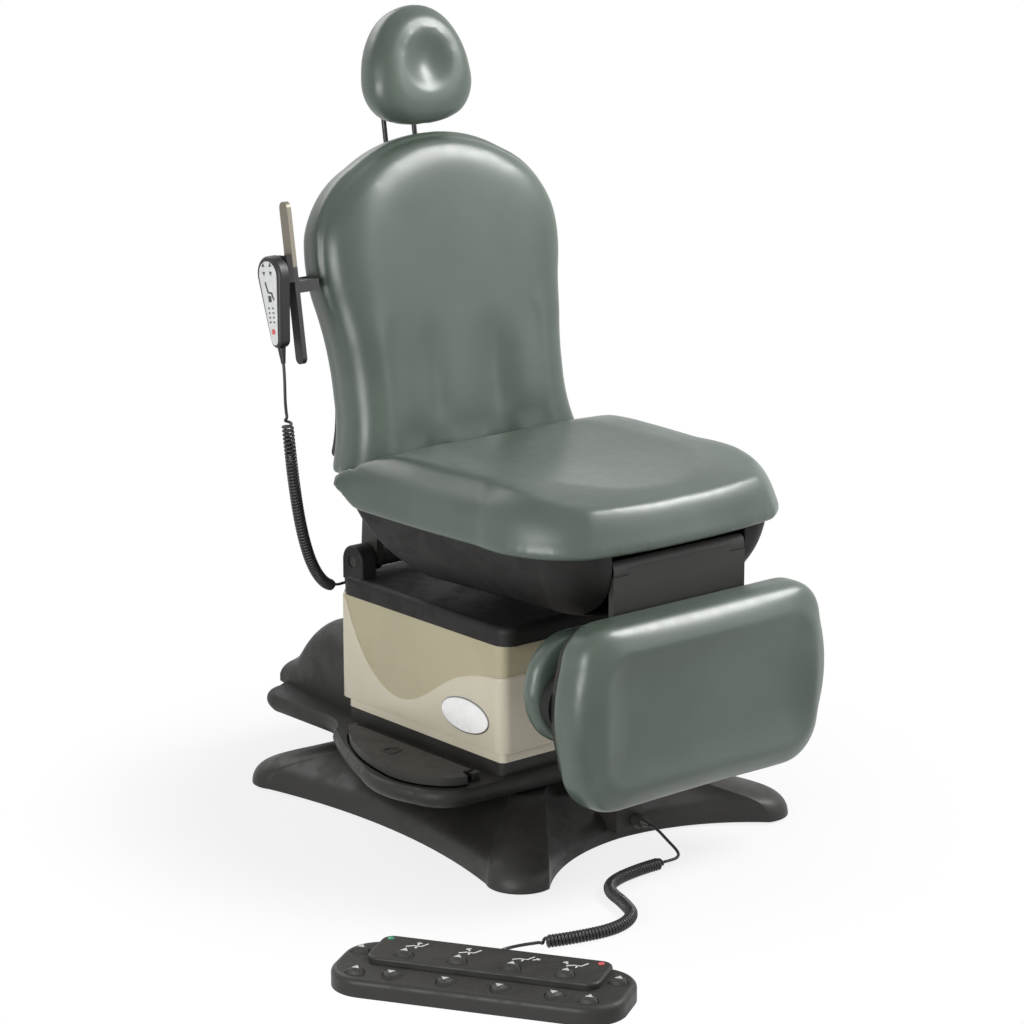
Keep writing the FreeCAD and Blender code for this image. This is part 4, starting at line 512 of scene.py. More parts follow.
def plate(outline: Sequence[tuple[float, float]], depth: float, edge: float, steps: int = 2) -> bmesh.types.BMesh:
    """A flat plate with eased top edges, standing on z = 0.

    Args:
        outline: Its corners in order, in x and y.
        depth: Its thickness.
        edge: The width of the eased edge.
        steps: Segments across that edge.

    Returns:
        The new bmesh.
    """
    bm = bmesh.new()
    ring = [bm.verts.new((x, y, 0.0)) for x, y in outline]
    base = bm.faces.new(ring)
    top = bmesh.ops.extrude_face_region(bm, geom=[base], use_keep_orig=True)["geom"]
    raised = [item for item in top if isinstance(item, bmesh.types.BMVert)]
    bmesh.ops.translate(bm, vec=(0.0, 0.0, depth), verts=raised)
    if edge > 0:
        high = set(raised)
        rim = [e for e in bm.edges if e.verts[0] in high and e.verts[1] in high]
        bmesh.ops.bevel(bm, geom=rim, offset=edge, offset_type="OFFSET", segments=steps, profile=0.5,
                        affect="EDGES", material=-1, clamp_overlap=True)
    return bm


def ellipse(half_x: float, half_y: float, count: int = 48) -> list[tuple[float, float]]:
    """Corners of an ellipse."""
    turns = [2 * math.pi * k / count for k in range(count)]
    return [(half_x * math.cos(t), half_y * math.sin(t)) for t in turns]


def round_box(half_x: float, half_y: float, radius: float, count: int = 6) -> list[tuple[float, float]]:
    """Corners of a rectangle with round corners."""
    out = []
    for quarter, (sx, sy) in enumerate(((1, 1), (-1, 1), (-1, -1), (1, -1))):
        for k in range(count + 1):
            turn = math.pi / 2 * (quarter + k / count)
            out.append((sx * (half_x - radius) + radius * math.cos(turn),
                        sy * (half_y - radius) + radius * math.sin(turn)))
    return out


def stroke(path: Sequence[tuple[float, float]], width: float, depth: float) -> bmesh.types.BMesh:
    """A thin raised line through points, lying on z = 0.

    Args:
        path: Points in x and y.
        width: The line's width.
        depth: How far it stands up.

    Returns:
        The new bmesh.
    """
    left, right = [], []
    for k, (x, y) in enumerate(path):
        x0, y0 = path[max(k - 1, 0)]
        x1, y1 = path[min(k + 1, len(path) - 1)]
        length = math.hypot(x1 - x0, y1 - y0) or 1.0
        nx, ny = -(y1 - y0) / length * width / 2, (x1 - x0) / length * width / 2
        left.append((x + nx, y + ny))
        right.append((x - nx, y - ny))
    return plate(left + right[::-1], depth, 0.0)


def merge(parts: Iterable[bmesh.types.BMesh]) -> bmesh.types.BMesh:
    """Put several shapes into one bmesh; the parts are freed."""
    whole = bmesh.new()
    for part in parts:
        spare = bpy.data.meshes.new("spare")
        part.to_mesh(spare)
        part.free()
        whole.from_mesh(spare)
        bpy.data.meshes.remove(spare)
    return whole


def moved(bm: bmesh.types.BMesh, matrix: Matrix) -> bmesh.types.BMesh:
    """Move a shape and hand it back."""
    bmesh.ops.transform(bm, matrix=matrix, verts=bm.verts)
    return bm


def applied(piece: bpy.types.Object) -> bpy.types.Mesh:
    """The piece's mesh with its modifiers applied, as a new mesh."""
    graph = bpy.context.evaluated_depsgraph_get()
    return bpy.data.meshes.new_from_object(piece.evaluated_get(graph))


def smooth_step(value: np.ndarray, low: float, high: float) -> np.ndarray:
    """Smooth ramp from 0 at low to 1 at high."""
    t = np.clip((value - low) / (high - low), 0.0, 1.0)
    return t * t * (3 - 2 * t)


def hump(value: np.ndarray, middle: float, width: float) -> np.ndarray:
    """Soft hump of height 1 at a middle."""
    return np.exp(-((value - middle) / width) ** 2)


def calmed(mesh: bpy.types.Mesh, shift: np.ndarray, rounds: int) -> np.ndarray:
    """Even out a shift of a mesh's points along its edges.

    Args:
        mesh: The mesh.
        shift: One vector for each point.
        rounds: How many times each point takes up half of its neighbours' mean.

    Returns:
        The evened shift.
    """
    ends = np.empty(len(mesh.edges) * 2, dtype=np.int32)
    mesh.edges.foreach_get("vertices", ends)
    first, second = ends[0::2], ends[1::2]
    size = len(shift)
    count = np.maximum(np.bincount(ends, minlength=size), 1)
    out = shift.copy()
    for _ in range(rounds):
        for k in range(3):
            value = out[:, k]
            near = np.bincount(first, value[second], size) + np.bincount(second, value[first], size)
            out[:, k] = 0.5 * value + 0.5 * near / count
    return out


def smooth_line(points: Sequence[tuple[float, float]], steps: int = 10) -> list[tuple[float, float]]:
    """A smooth line through points, passing each of them.

    Args:
        points: Places in order.
        steps: Pieces between two places.

    Returns:
        The places on the line.
    """
    knots = [points[0], *points, points[-1]]
    out = []
    for a, b, c, d in zip(knots, knots[1:], knots[2:], knots[3:]):
        for k in range(steps):
            t = k / steps
            out.append(tuple(0.5 * (2 * q + (r - o) * t + (2 * o - 5 * q + 4 * r - v) * t * t
                                    + (3 * q - o - 3 * r + v) * t ** 3) for o, q, r, v in zip(a, b, c, d)))
    out.append(tuple(points[-1]))
    return out


def points_of(mesh: bpy.types.Mesh) -> np.ndarray:
    """A mesh's points as an array."""
    out = np.empty(len(mesh.vertices) * 3, dtype=np.float64)
    mesh.vertices.foreach_get("co", out)
    return out.reshape(-1, 3)


LEAN = math.radians(9.0)
BACK_FRAME = Matrix.Translation((0.0, 0.130, 0.548)) @ Matrix.Rotation(math.pi / 2 - LEAN, 4, "X")
FOOT_FRAME = Matrix.Rotation(math.pi / 2, 4, "X")
BEHIND_FRAME = Matrix.Rotation(-math.pi / 2, 4, "X")
CONTROL_FRAME = Matrix.Translation((-0.556, -0.600, 0.0)) @ Matrix.Rotation(math.radians(-58.0), 4, "Z")
FRAME: dict = {}


@dataclass(frozen=True)
class Stuffing:
    """How the covers take their stuffing, as cloth under pressure.

    Attributes:
        quality: Steps for each frame.
        mass: Mass of a point.
        stiffness: Against stretching and pushing together.
        bending: Against bending.
        pressure: Push from inside.
        frames: How long it pushes.
    """

    quality: int = 4
    mass: float = 0.35
    stiffness: float = 25.0
    bending: float = 2.0
    pressure: float = 4.0
    frames: int = 10


@dataclass
class Cushion:
    """An upholstered pad that takes a CAD solid's place.

    Attributes:
        name: The piece's name.
        node: The solid that it stands for.
        body: The body that carries it.
        own: The pad's own frame, with z out of its face.
        seat_at: Height of the face that it is fixed by, in that frame.
        voxel: Size of the remesh.
        draw_in: How far the skin starts inside the solid.
        swell: The most that the stuffing may push a point.
        calm: Rounds of evening that keep the cover tight.
        fill: How tight it is stuffed; not used.
        relax: Rounds of smoothing after the remesh.
        level: Rounds of evening where the pad is eased.
        fixed: Heights above the fixed face between which the cover comes free.
        stuffing: How the cover takes its stuffing.
    """

    name: str
    node: str
    body: str
    own: Matrix
    seat_at: float
    voxel: float = 0.0055
    draw_in: float = 0.003
    swell: float = 0.006
    calm: int = 70
    fill: float = 0.9
    relax: int = 12
    level: int = 170
    fixed: tuple[float, float] = (0.004, 0.030)
    stuffing: Stuffing = Stuffing()

    def ease(self, p: np.ndarray) -> Optional[np.ndarray]:
        """Share by which each point is drawn level with those round it, or None for a pad that isn't eased."""
        return None

    def shape(self, p: np.ndarray) -> np.ndarray:
        """How far each point moves out of the face into the pad's last form."""
        return np.zeros(len(p))

    def skin(self) -> bpy.types.Object:
        """Copy the solid, draw it in and give it an even mesh.

        Returns:
            A working object.
        """
        bm = bmesh.new()
        bm.from_mesh(FRAME["nodes"][self.node].data)
        bmesh.ops.remove_doubles(bm, verts=bm.verts, dist=1e-5)
        bmesh.ops.transform(bm, matrix=self.own.inverted(), verts=bm.verts)
        mesh = bpy.data.meshes.new(self.name + "_start")
        bm.to_mesh(mesh)
        bm.free()
        work = bpy.data.objects.new(self.name + "_start", mesh)
        bpy.context.scene.collection.objects.link(work)
        remesh = work.modifiers.new("even", "REMESH")
        remesh.mode = "VOXEL"
        remesh.voxel_size = self.voxel
        relax = work.modifiers.new("relax", "SMOOTH")
        relax.factor = 0.5
        relax.iterations = self.relax
        even = applied(work)
        work.modifiers.clear()
        work.data = even
        bpy.data.meshes.remove(mesh)
        return work

    def stuff(self, work: bpy.types.Object) -> np.ndarray:
        """Blow the skin up from inside, as stuffing does.

        Args:
            work: The working object.

        Returns:
            The points after stuffing, no further than the cap from where they were.
        """
        start = points_of(work.data)
        normals = np.empty(len(start) * 3)
        work.data.vertices.foreach_get("normal", normals)
        normals = normals.reshape(-1, 3)
        inner = start - normals * self.draw_in
        work.data.vertices.foreach_set("co", inner.ravel())
        cloth = work.modifiers.new("stuffing", "CLOTH")
        cloth.settings.quality = self.stuffing.quality
        cloth.settings.mass = self.stuffing.mass
        cloth.settings.tension_stiffness = self.stuffing.stiffness
        cloth.settings.compression_stiffness = self.stuffing.stiffness
        cloth.settings.bending_stiffness = self.stuffing.bending
        cloth.settings.use_pressure = True
        cloth.settings.uniform_pressure_force = self.stuffing.pressure
        cloth.settings.effector_weights.gravity = 0.0
        cloth.collision_settings.use_collision = False
        scene = bpy.context.scene
        for step in range(1, self.stuffing.frames + 1):
            scene.frame_set(step)
        done = applied(work)
        out = points_of(done)
        bpy.data.meshes.remove(done)
        work.modifiers.clear()
        scene.frame_set(1)
        shift = out - inner
        far = np.linalg.norm(shift, axis=1, keepdims=True)
        shift = shift * np.minimum(1.0, self.swell / np.maximum(far, 1e-9))
        return start + calmed(work.data, inner + shift - start, self.calm)

    def build(self) -> bpy.types.Object:
        """Make the finished pad.

        Returns:
            The pad, riding on its body.
        """
        work = self.skin()
        start = points_of(work.data)
        out = self.stuff(work)
        free = smooth_step(start[:, 2] - self.seat_at, *self.fixed)[:, None]
        out = start + (out - start) * free
        share = self.ease(out)
        if share is not None:
            out = out + (calmed(work.data, out, self.level) - out) * share[:, None]
        out[:, 2] += self.shape(out)
        mesh = work.data
        mesh.vertices.foreach_set("co", out.ravel())
        mesh.update()
        subdivide = work.modifiers.new("finer", "SUBSURF")
        subdivide.levels = 1
        subdivide.render_levels = 1
        final = applied(work)
        bpy.data.objects.remove(work)
        final.transform(self.own)
        final.name = self.name
        piece = as_piece(self.name, final, VINYL)
        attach(piece, self.body)
        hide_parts(self.node)
        return piece


@dataclass
class SeatPad(Cushion):
    """The seat's pad, with raised side bolsters.

    Attributes:
        bolster_x: Middle of a bolster, across the seat.
        bolster_width: Its width.
        bolster_rise: Its height.
        bolster_top: Heights between which the seat's top begins.
        bolster_front: Where it rises behind the front edge.
        bolster_rear: Where it falls before the rear edge.
    """

    bolster_x: float = 0.205
    bolster_width: float = 0.035
    bolster_rise: float = 0.003
    bolster_top: tuple[float, float] = (0.556, 0.584)
    bolster_front: tuple[float, float] = (-0.38, -0.26)
    bolster_rear: tuple[float, float] = (-0.06, 0.04)

    def shape(self, p: np.ndarray) -> np.ndarray:
        """Rise of the bolsters."""
        top = smooth_step(p[:, 2], *self.bolster_top)
        bolster = hump(np.abs(p[:, 0]), self.bolster_x, self.bolster_width)
        length = smooth_step(p[:, 1], *self.bolster_front) * (1 - smooth_step(p[:, 1], *self.bolster_rear))
        return self.bolster_rise * top * bolster * length


@dataclass
class BackPad(Cushion):
    """The back's pad: soft top, and two channels with low ridges beside them in its lower half.

    Attributes:
        soft_x: Half widths between which the eased lower middle ends.
        soft_low: Heights up the back between which it begins.
        soft_high: Heights between which it ends.
        top: Heights between which the eased top begins.
        top_share: How much the top is eased.
        channel: A channel's place across the back, width and depth.
        ridge: A ridge's place across the back, width and height.
        low: Heights between which channels and ridges begin.
        high: Heights between which they end.
        soft_face: Depths in the pad between which its lower middle counts as face.
        top_face: The same for the top.
        face: The same for channels and ridges.
    """

    soft_x: tuple[float, float] = (0.125, 0.165)
    soft_low: tuple[float, float] = (0.02, 0.06)
    soft_high: tuple[float, float] = (0.22, 0.28)
    top: tuple[float, float] = (0.20, 0.28)
    top_share: float = 0.85
    channel: tuple[float, float, float] = (0.062, 0.028, 0.005)
    ridge: tuple[float, float, float] = (0.120, 0.030, 0.002)
    low: tuple[float, float] = (0.03, 0.10)
    high: tuple[float, float] = (0.13, 0.25)
    soft_face: tuple[float, float] = (-0.005, 0.010)
    top_face: tuple[float, float] = (-0.002, 0.016)
    face: tuple[float, float] = (0.000, 0.022)

    def ease(self, p: np.ndarray) -> np.ndarray:
        """Share of evening on the lower middle and the top."""
        middle = ((1 - smooth_step(np.abs(p[:, 0]), *self.soft_x)) * smooth_step(p[:, 1], *self.soft_low)
                  * (1 - smooth_step(p[:, 1], *self.soft_high)))
        upper = self.top_share * smooth_step(p[:, 1], *self.top)
        return np.maximum(smooth_step(p[:, 2], *self.soft_face) * middle,
                          smooth_step(p[:, 2], *self.top_face) * upper)

    def shape(self, p: np.ndarray) -> np.ndarray:
        """Depth of the channels and rise of the ridges."""
        front = smooth_step(p[:, 2], *self.face)
        across = np.abs(p[:, 0])
        part = smooth_step(p[:, 1], *self.low) * (1 - smooth_step(p[:, 1], *self.high))
        rise = self.ridge[2] * hump(across, *self.ridge[:2])
        fall = self.channel[2] * hump(across, *self.channel[:2])
        return front * part * (rise - fall)


@dataclass
class HeadPad(Cushion):
    """The headrest's pad, with a hollow and a soft ring round it.

    Attributes:
        hollow_at: The hollow's height up the back.
        hollow_long: How much longer it is than wide.
        hollow: Its width and depth.
        ring: The ring's distance from the hollow's middle, width and height.
        rim: The eased rim's distance from the middle, width and share.
        rim_face: Depths in the pad between which the rim counts as face.
        face: The same for hollow and ring.
    """

    voxel: float = 0.005
    hollow_at: float = 0.633
    hollow_long: float = 1.12
    hollow: tuple[float, float] = (0.042, 0.006)
    ring: tuple[float, float, float] = (0.068, 0.022, 0.003)
    rim: tuple[float, float, float] = (0.060, 0.030, 0.75)
    rim_face: tuple[float, float] = (-0.005, 0.014)
    face: tuple[float, float] = (-0.010, 0.014)

    def away(self, p: np.ndarray) -> np.ndarray:
        """Distance of each point from the hollow's middle."""
        return np.hypot(p[:, 0], (p[:, 1] - self.hollow_at) / self.hollow_long)

    def ease(self, p: np.ndarray) -> np.ndarray:
        """Share of evening on the rim of the hollow."""
        return self.rim[2] * smooth_step(p[:, 2], *self.rim_face) * hump(self.away(p), *self.rim[:2])

    def shape(self, p: np.ndarray) -> np.ndarray:
        """Depth of the hollow and rise of the ring."""
        front = smooth_step(p[:, 2], *self.face)
        away = self.away(p)
        width, depth = self.hollow
        return front * (self.ring[2] * hump(away, *self.ring[:2]) - depth * hump(away, 0.0, width))


@dataclass
class FootPad(Cushion):
    """The foot section's pad, whose face is set in a little inside a soft rim.

    Attributes:
        middle: The face's height on the foot section.
        core: Half width and half height of the block that the rim goes round.
        edge: Distance of the outline from that block.
        rim: The rim's distance from the outline, width and height.
        inset: Distances from the outline between which the face is set in.
        inset_depth: How deep it is set in.
        face: Depths in the pad between which a point counts as face.
    """

    middle: float = 0.279
    core: tuple[float, float] = (0.165, 0.056)
    edge: float = 0.093
    rim: tuple[float, float, float] = (0.040, 0.016, 0.004)
    inset: tuple[float, float] = (0.045, 0.095)
    inset_depth: float = 0.006
    face: tuple[float, float] = (0.440, 0.462)

    def shape(self, p: np.ndarray) -> np.ndarray:
        """Rise of the rim and depth of the face."""
        front = smooth_step(p[:, 2], *self.face)
        over_x = np.maximum(np.abs(p[:, 0]) - self.core[0], 0.0)
        over_y = np.maximum(np.abs(p[:, 1] - self.middle) - self.core[1], 0.0)
        inside = self.edge - np.hypot(over_x, over_y)
        rise = self.rim[2] * hump(inside, *self.rim[:2])
        return front * (rise - self.inset_depth * smooth_step(inside, *self.inset))


@dataclass
class Upholstery:
    """All the pads.

    Attributes:
        pads: Each pad, with its solid, body, frame and fixed face.
    """

    pads: list[Cushion] = field(default_factory=lambda: [
        SeatPad("seat_pad", "seat_cushion", "seat", Matrix.Identity(4), 0.512),
        BackPad("back_pad", "back_cushion", "back", BACK_FRAME, -0.049),
        HeadPad("head_pad", "headrest_pad", "headrest", BACK_FRAME, -0.046),
        FootPad("foot_pad", "foot_cushion", "foot", FOOT_FRAME, 0.394),
        Cushion("extension_cushion", "extension_pad", "foot_extension", BEHIND_FRAME, -0.352, voxel=0.006),
    ])

    def build(self) -> None:
        """Make every pad."""
        for pad in self.pads:
            pad.build()


@dataclass
class CurlyCord:
    """A curly cord: straight leads and a helix on one line.

    Attributes:
        name: The piece's name.
        route: Control points from the exit to the far end, as the solid has them.
        curl_from: Number of the point where the curls begin.
        curl_to: Number of the point where they end.
        curls: How many there are.
        nodes: The solids that it stands for.
        wire: Radius of the cord itself.
        helix: Radius of the curls at the middle of the cord.
        per_curl: Points on each curl.
        opening: Curls over which the cord opens at each end.
        stretch: How much longer the first curl is than those in the middle, as a share.
        lead_points: Points on each straight lead.
    """

    name: str
    route: list[Point]
    curl_from: int
    curl_to: int
    curls: int
    nodes: tuple[str, ...]
    wire: float = 0.0024
    helix: float = 0.0074
    per_curl: int = 14
    opening: float = 1.5
    stretch: float = 2.4
    lead_points: int = 14

    def line(self) -> np.ndarray:
        """Points along the route's smooth curve.

        Returns:
            Points from the exit to the far end.
        """
        curve = bpy.data.curves.new(self.name + "_route", "CURVE")
        curve.dimensions = "3D"
        spline = curve.splines.new("NURBS")
        spline.points.add(len(self.route) - 1)
        for spot, place in zip(spline.points, self.route):
            spot.co = (*place, 1.0)
        spline.order_u = 3
        spline.use_endpoint_u = True
        spline.resolution_u = 24
        holder = bpy.data.objects.new(self.name + "_route", curve)
        bpy.context.scene.collection.objects.link(holder)
        bpy.context.view_layer.update()
        mesh = applied(holder)
        out = points_of(mesh)
        bpy.data.meshes.remove(mesh)
        bpy.data.objects.remove(holder)
        bpy.data.curves.remove(curve)
        return out

    def centreline(self) -> np.ndarray:
        """The cord's own line: leads along the route, curls wound round it.

        Returns:
            Points from the exit to the far end.
        """
        line = self.line()
        steps = np.linalg.norm(np.diff(line, axis=0), axis=1)
        along = np.concatenate(([0.0], np.cumsum(steps)))
        first = along[np.argmin(np.linalg.norm(line - np.array(self.route[self.curl_from]), axis=1))]
        last = along[np.argmin(np.linalg.norm(line - np.array(self.route[self.curl_to]), axis=1))]

        def at(distance: np.ndarray) -> np.ndarray:
            """Places on the route at given distances."""
            return np.stack([np.interp(distance, along, line[:, k]) for k in range(3)], axis=1)

        lead = at(np.linspace(0.0, first, self.lead_points, endpoint=False))
        tail = at(np.linspace(last, along[-1], self.lead_points)[1:])
        turns = np.linspace(0.0, self.curls, self.curls * self.per_curl + 1)
        opened = np.minimum(1.0, np.minimum(turns, self.curls - turns) / self.opening)
        advance = np.concatenate(([0.0], np.cumsum(1 + self.stretch * (1 - (opened[1:] + opened[:-1]) / 2))))
        spine = at(first + (last - first) * advance / advance[-1])
        ahead = np.gradient(spine, axis=0)
        ahead /= np.linalg.norm(ahead, axis=1, keepdims=True)
        normal = np.array([0.0, 0.0, 1.0]) if abs(ahead[0][2]) < 0.9 else np.array([1.0, 0.0, 0.0])
        wound = []
        for place, way, turn, open_by in zip(spine, ahead, turns, opened):
            normal = normal - way * normal.dot(way)
            normal = normal / np.linalg.norm(normal)
            radius = self.helix * open_by * open_by * (3 - 2 * open_by)
            angle = 2 * math.pi * turn
            wound.append(place + radius * (normal * math.cos(angle) + np.cross(way, normal) * math.sin(angle)))
        return np.concatenate((lead, np.array(wound), tail))

    def tube(self) -> tuple[bpy.types.Mesh, np.ndarray]:
        """The cord as a mesh tube.

        Returns:
            The mesh and the line that it follows.
        """
        spots = self.centreline()
        curve = bpy.data.curves.new(self.name, "CURVE")
        curve.dimensions = "3D"
        curve.bevel_depth = self.wire
        curve.bevel_resolution = 3
        curve.use_fill_caps = True
        spline = curve.splines.new("POLY")
        spline.points.add(len(spots) - 1)
        spline.points.foreach_set("co", np.c_[spots, np.ones(len(spots))].ravel())
        holder = bpy.data.objects.new(self.name + "_line", curve)
        bpy.context.scene.collection.objects.link(holder)
        bpy.context.view_layer.update()
        mesh = applied(holder)
        bpy.data.objects.remove(holder)
        bpy.data.curves.remove(curve)
        return mesh, spots

    def build(self, lay: str, with_pieces: Sequence[bpy.types.Object], body: str,
              bends: Optional[tuple[str, str, Point, Point]] = None) -> bpy.types.Object:
        """Make the cord.

        Args:
            lay: How it lies; not used.
            with_pieces: What is on it; not used.
            body: The body that carries it.
            bends: Two bodies and two points for a bend from one to the other; when given, the cord is made without a
                bend and rides on no body, and their values are not used.

        Returns:
            The cord.
        """
        mesh, spots = self.tube()
        piece = as_piece(self.name, mesh, SHEATH)
        if bends is None:
            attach(piece, body)
        else:
            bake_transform(piece)
        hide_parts(*self.nodes)
        return piece


@dataclass
class Cords:
    """The handset's cord and the foot control's.

    Attributes:
        floor_z: Height of the curls' middle on the floor.
        hand_route: Route of the handset's cord, from the handset to the socket behind the lift.
        hand_bend: Where that cord would bend from the seat to the back; it is handed on, and the cord is made without
            the bend.
    """

    floor_z: float = 0.0104
    hand_route: tuple[Point, ...] = (
        (-0.326, 0.161, 0.7375), (-0.326, 0.1585, 0.7217), (-0.3269, 0.157, 0.6787), (-0.3255, 0.157, 0.6648),
        (-0.325, 0.157, 0.660), (-0.319, 0.157, 0.600), (-0.303, 0.172, 0.552), (-0.285, 0.189, 0.508),
        (-0.268, 0.203, 0.466), (-0.248, 0.218, 0.425), (-0.226, 0.233, 0.388), (-0.199, 0.249, 0.355),
        (-0.168, 0.267, 0.331), (-0.140, 0.281, 0.3235), (-0.1358, 0.2831, 0.3224), (-0.1306, 0.2857, 0.3210),
        (-0.120, 0.285, 0.322), (-0.110, 0.285, 0.322))
    hand_bend: tuple[Point, Point] = ((-0.24, 0.22, 0.42), (-0.325, 0.157, 0.66))

    def foot_route(self) -> list[Point]:
        """Route of the foot control's cord, from the plug over the floor to the control."""
        floor = self.floor_z
        return [
            (0.014, -0.316, 0.036), (0.014, -0.330, 0.036), (0.014, -0.358, 0.022), (0.011, -0.388, 0.0115),
            (-0.0052, -0.4024, floor), (-0.0232, -0.4021, floor), (-0.028, -0.402, floor), (-0.084, -0.401, floor),
            (-0.146, -0.411, floor), (-0.180, -0.438, floor), (-0.195, -0.490, floor), (-0.218, -0.540, floor),
            (-0.274, -0.563, floor), (-0.346, -0.549, floor), (-0.398, -0.530, floor), (-0.4025, -0.5284, floor),
            (-0.4138, -0.5242, floor), (-0.434, -0.514, 0.008), (-0.454, -0.513, 0.0075),
            tuple(CONTROL_FRAME @ Vector((-0.020, 0.107, 0.009))),
            tuple(CONTROL_FRAME @ Vector((-0.020, 0.077, 0.009)))]

    def build(self) -> None:
        """Make both."""
        hand = CurlyCord("handset_cord", list(self.hand_route), 4, 13, 62, ("handset_cord_curl", "handset_cord_leads"))
        hand.build("hanging", [FRAME["nodes"]["handset_strain_relief"]], "seat", ("seat", "back", *self.hand_bend))
        foot = CurlyCord("foot_control_cord", self.foot_route(), 6, 14, 80, ("foot_cord_curl", "foot_cord_leads"))
        foot.build("loose", [FRAME["nodes"]["foot_plug"]], "base")
        dress("handset_strain_relief", SHEATH)
        dress("foot_plug", CHARCOAL)


@dataclass
class Pedestal:
    """Base, deck and brake pedals.

    Attributes:
        pedal_top: Height of a pedal's top.
        deck_top: Height of the deck where the ridges stand.
        mark_at: Place of a pedal's mark.
        mark_line: Width of the mark's lines.
        mark_rise: How far they stand up.
        ridge_x: Place of a deck ridge, across the deck.
        ridge: Its front and rear end.
        ridge_half: Half of its width.
        ridge_height: Its height.
    """

    pedal_top: float = 0.141
    deck_top: float = 0.126
    mark_at: tuple[float, float] = (0.264, -0.020)
    mark_line: float = 0.0028
    mark_rise: float = 0.0013
    ridge_x: float = 0.2125
    ridge: tuple[float, float] = (-0.166, 0.118)
    ridge_half: float = 0.0035
    ridge_height: float = 0.007

    def mark(self) -> bmesh.types.BMesh:
        """A raised padlock outline, lying on z = 0."""
        body = round_box(0.011, 0.009, 0.002)
        body.append(body[0])
        bow = [(0.0075 * math.cos(t), 0.009 + 0.009 * math.sin(t)) for t in np.linspace(0.0, math.pi, 15)]
        return merge(stroke(path, self.mark_line, self.mark_rise) for path in (body, bow))

    def trim(self) -> None:
        """Add the pedal marks and the ridges beside the pedals."""
        for name, side in (("right", -1), ("left", 1)):
            x, y = self.mark_at
            place = Matrix.Translation((side * x, y, self.pedal_top))
            place = place @ Matrix.Rotation(side * math.pi / 2, 4, "Z")
            publish(f"pedal_mark_{name}", self.mark(), PEDAL_BLACK, f"pedal_{name}", place)
            low, high = self.ridge
            bar = plate(round_box(self.ridge_half, (high - low) / 2, 0.0034), self.ridge_height, 0.0016)
            publish(f"deck_ridge_{name}", bar, DECK_BLACK, "turntable",
                    Matrix.Translation((side * self.ridge_x, (high + low) / 2, self.deck_top - 0.001)))

    def build(self) -> None:
        """Dress the mouldings and add their trim."""
        for node in ("base_cover", "foot_socket"):
            dress(node, CHARCOAL)
        for node in ("deck_cover", "power_inlet"):
            dress(node, DECK_BLACK)
        for node in ("brake_pedal_left", "brake_pedal_right"):
            dress(node, PEDAL_BLACK)
        for node in ("base_frame", "turntable_plate", "lift_motor", "tilt_actuator"):
            dress(node, POWDER)
        dress("levelling_feet", RUBBER)
        dress("slew_ring", STEEL)
        self.trim()


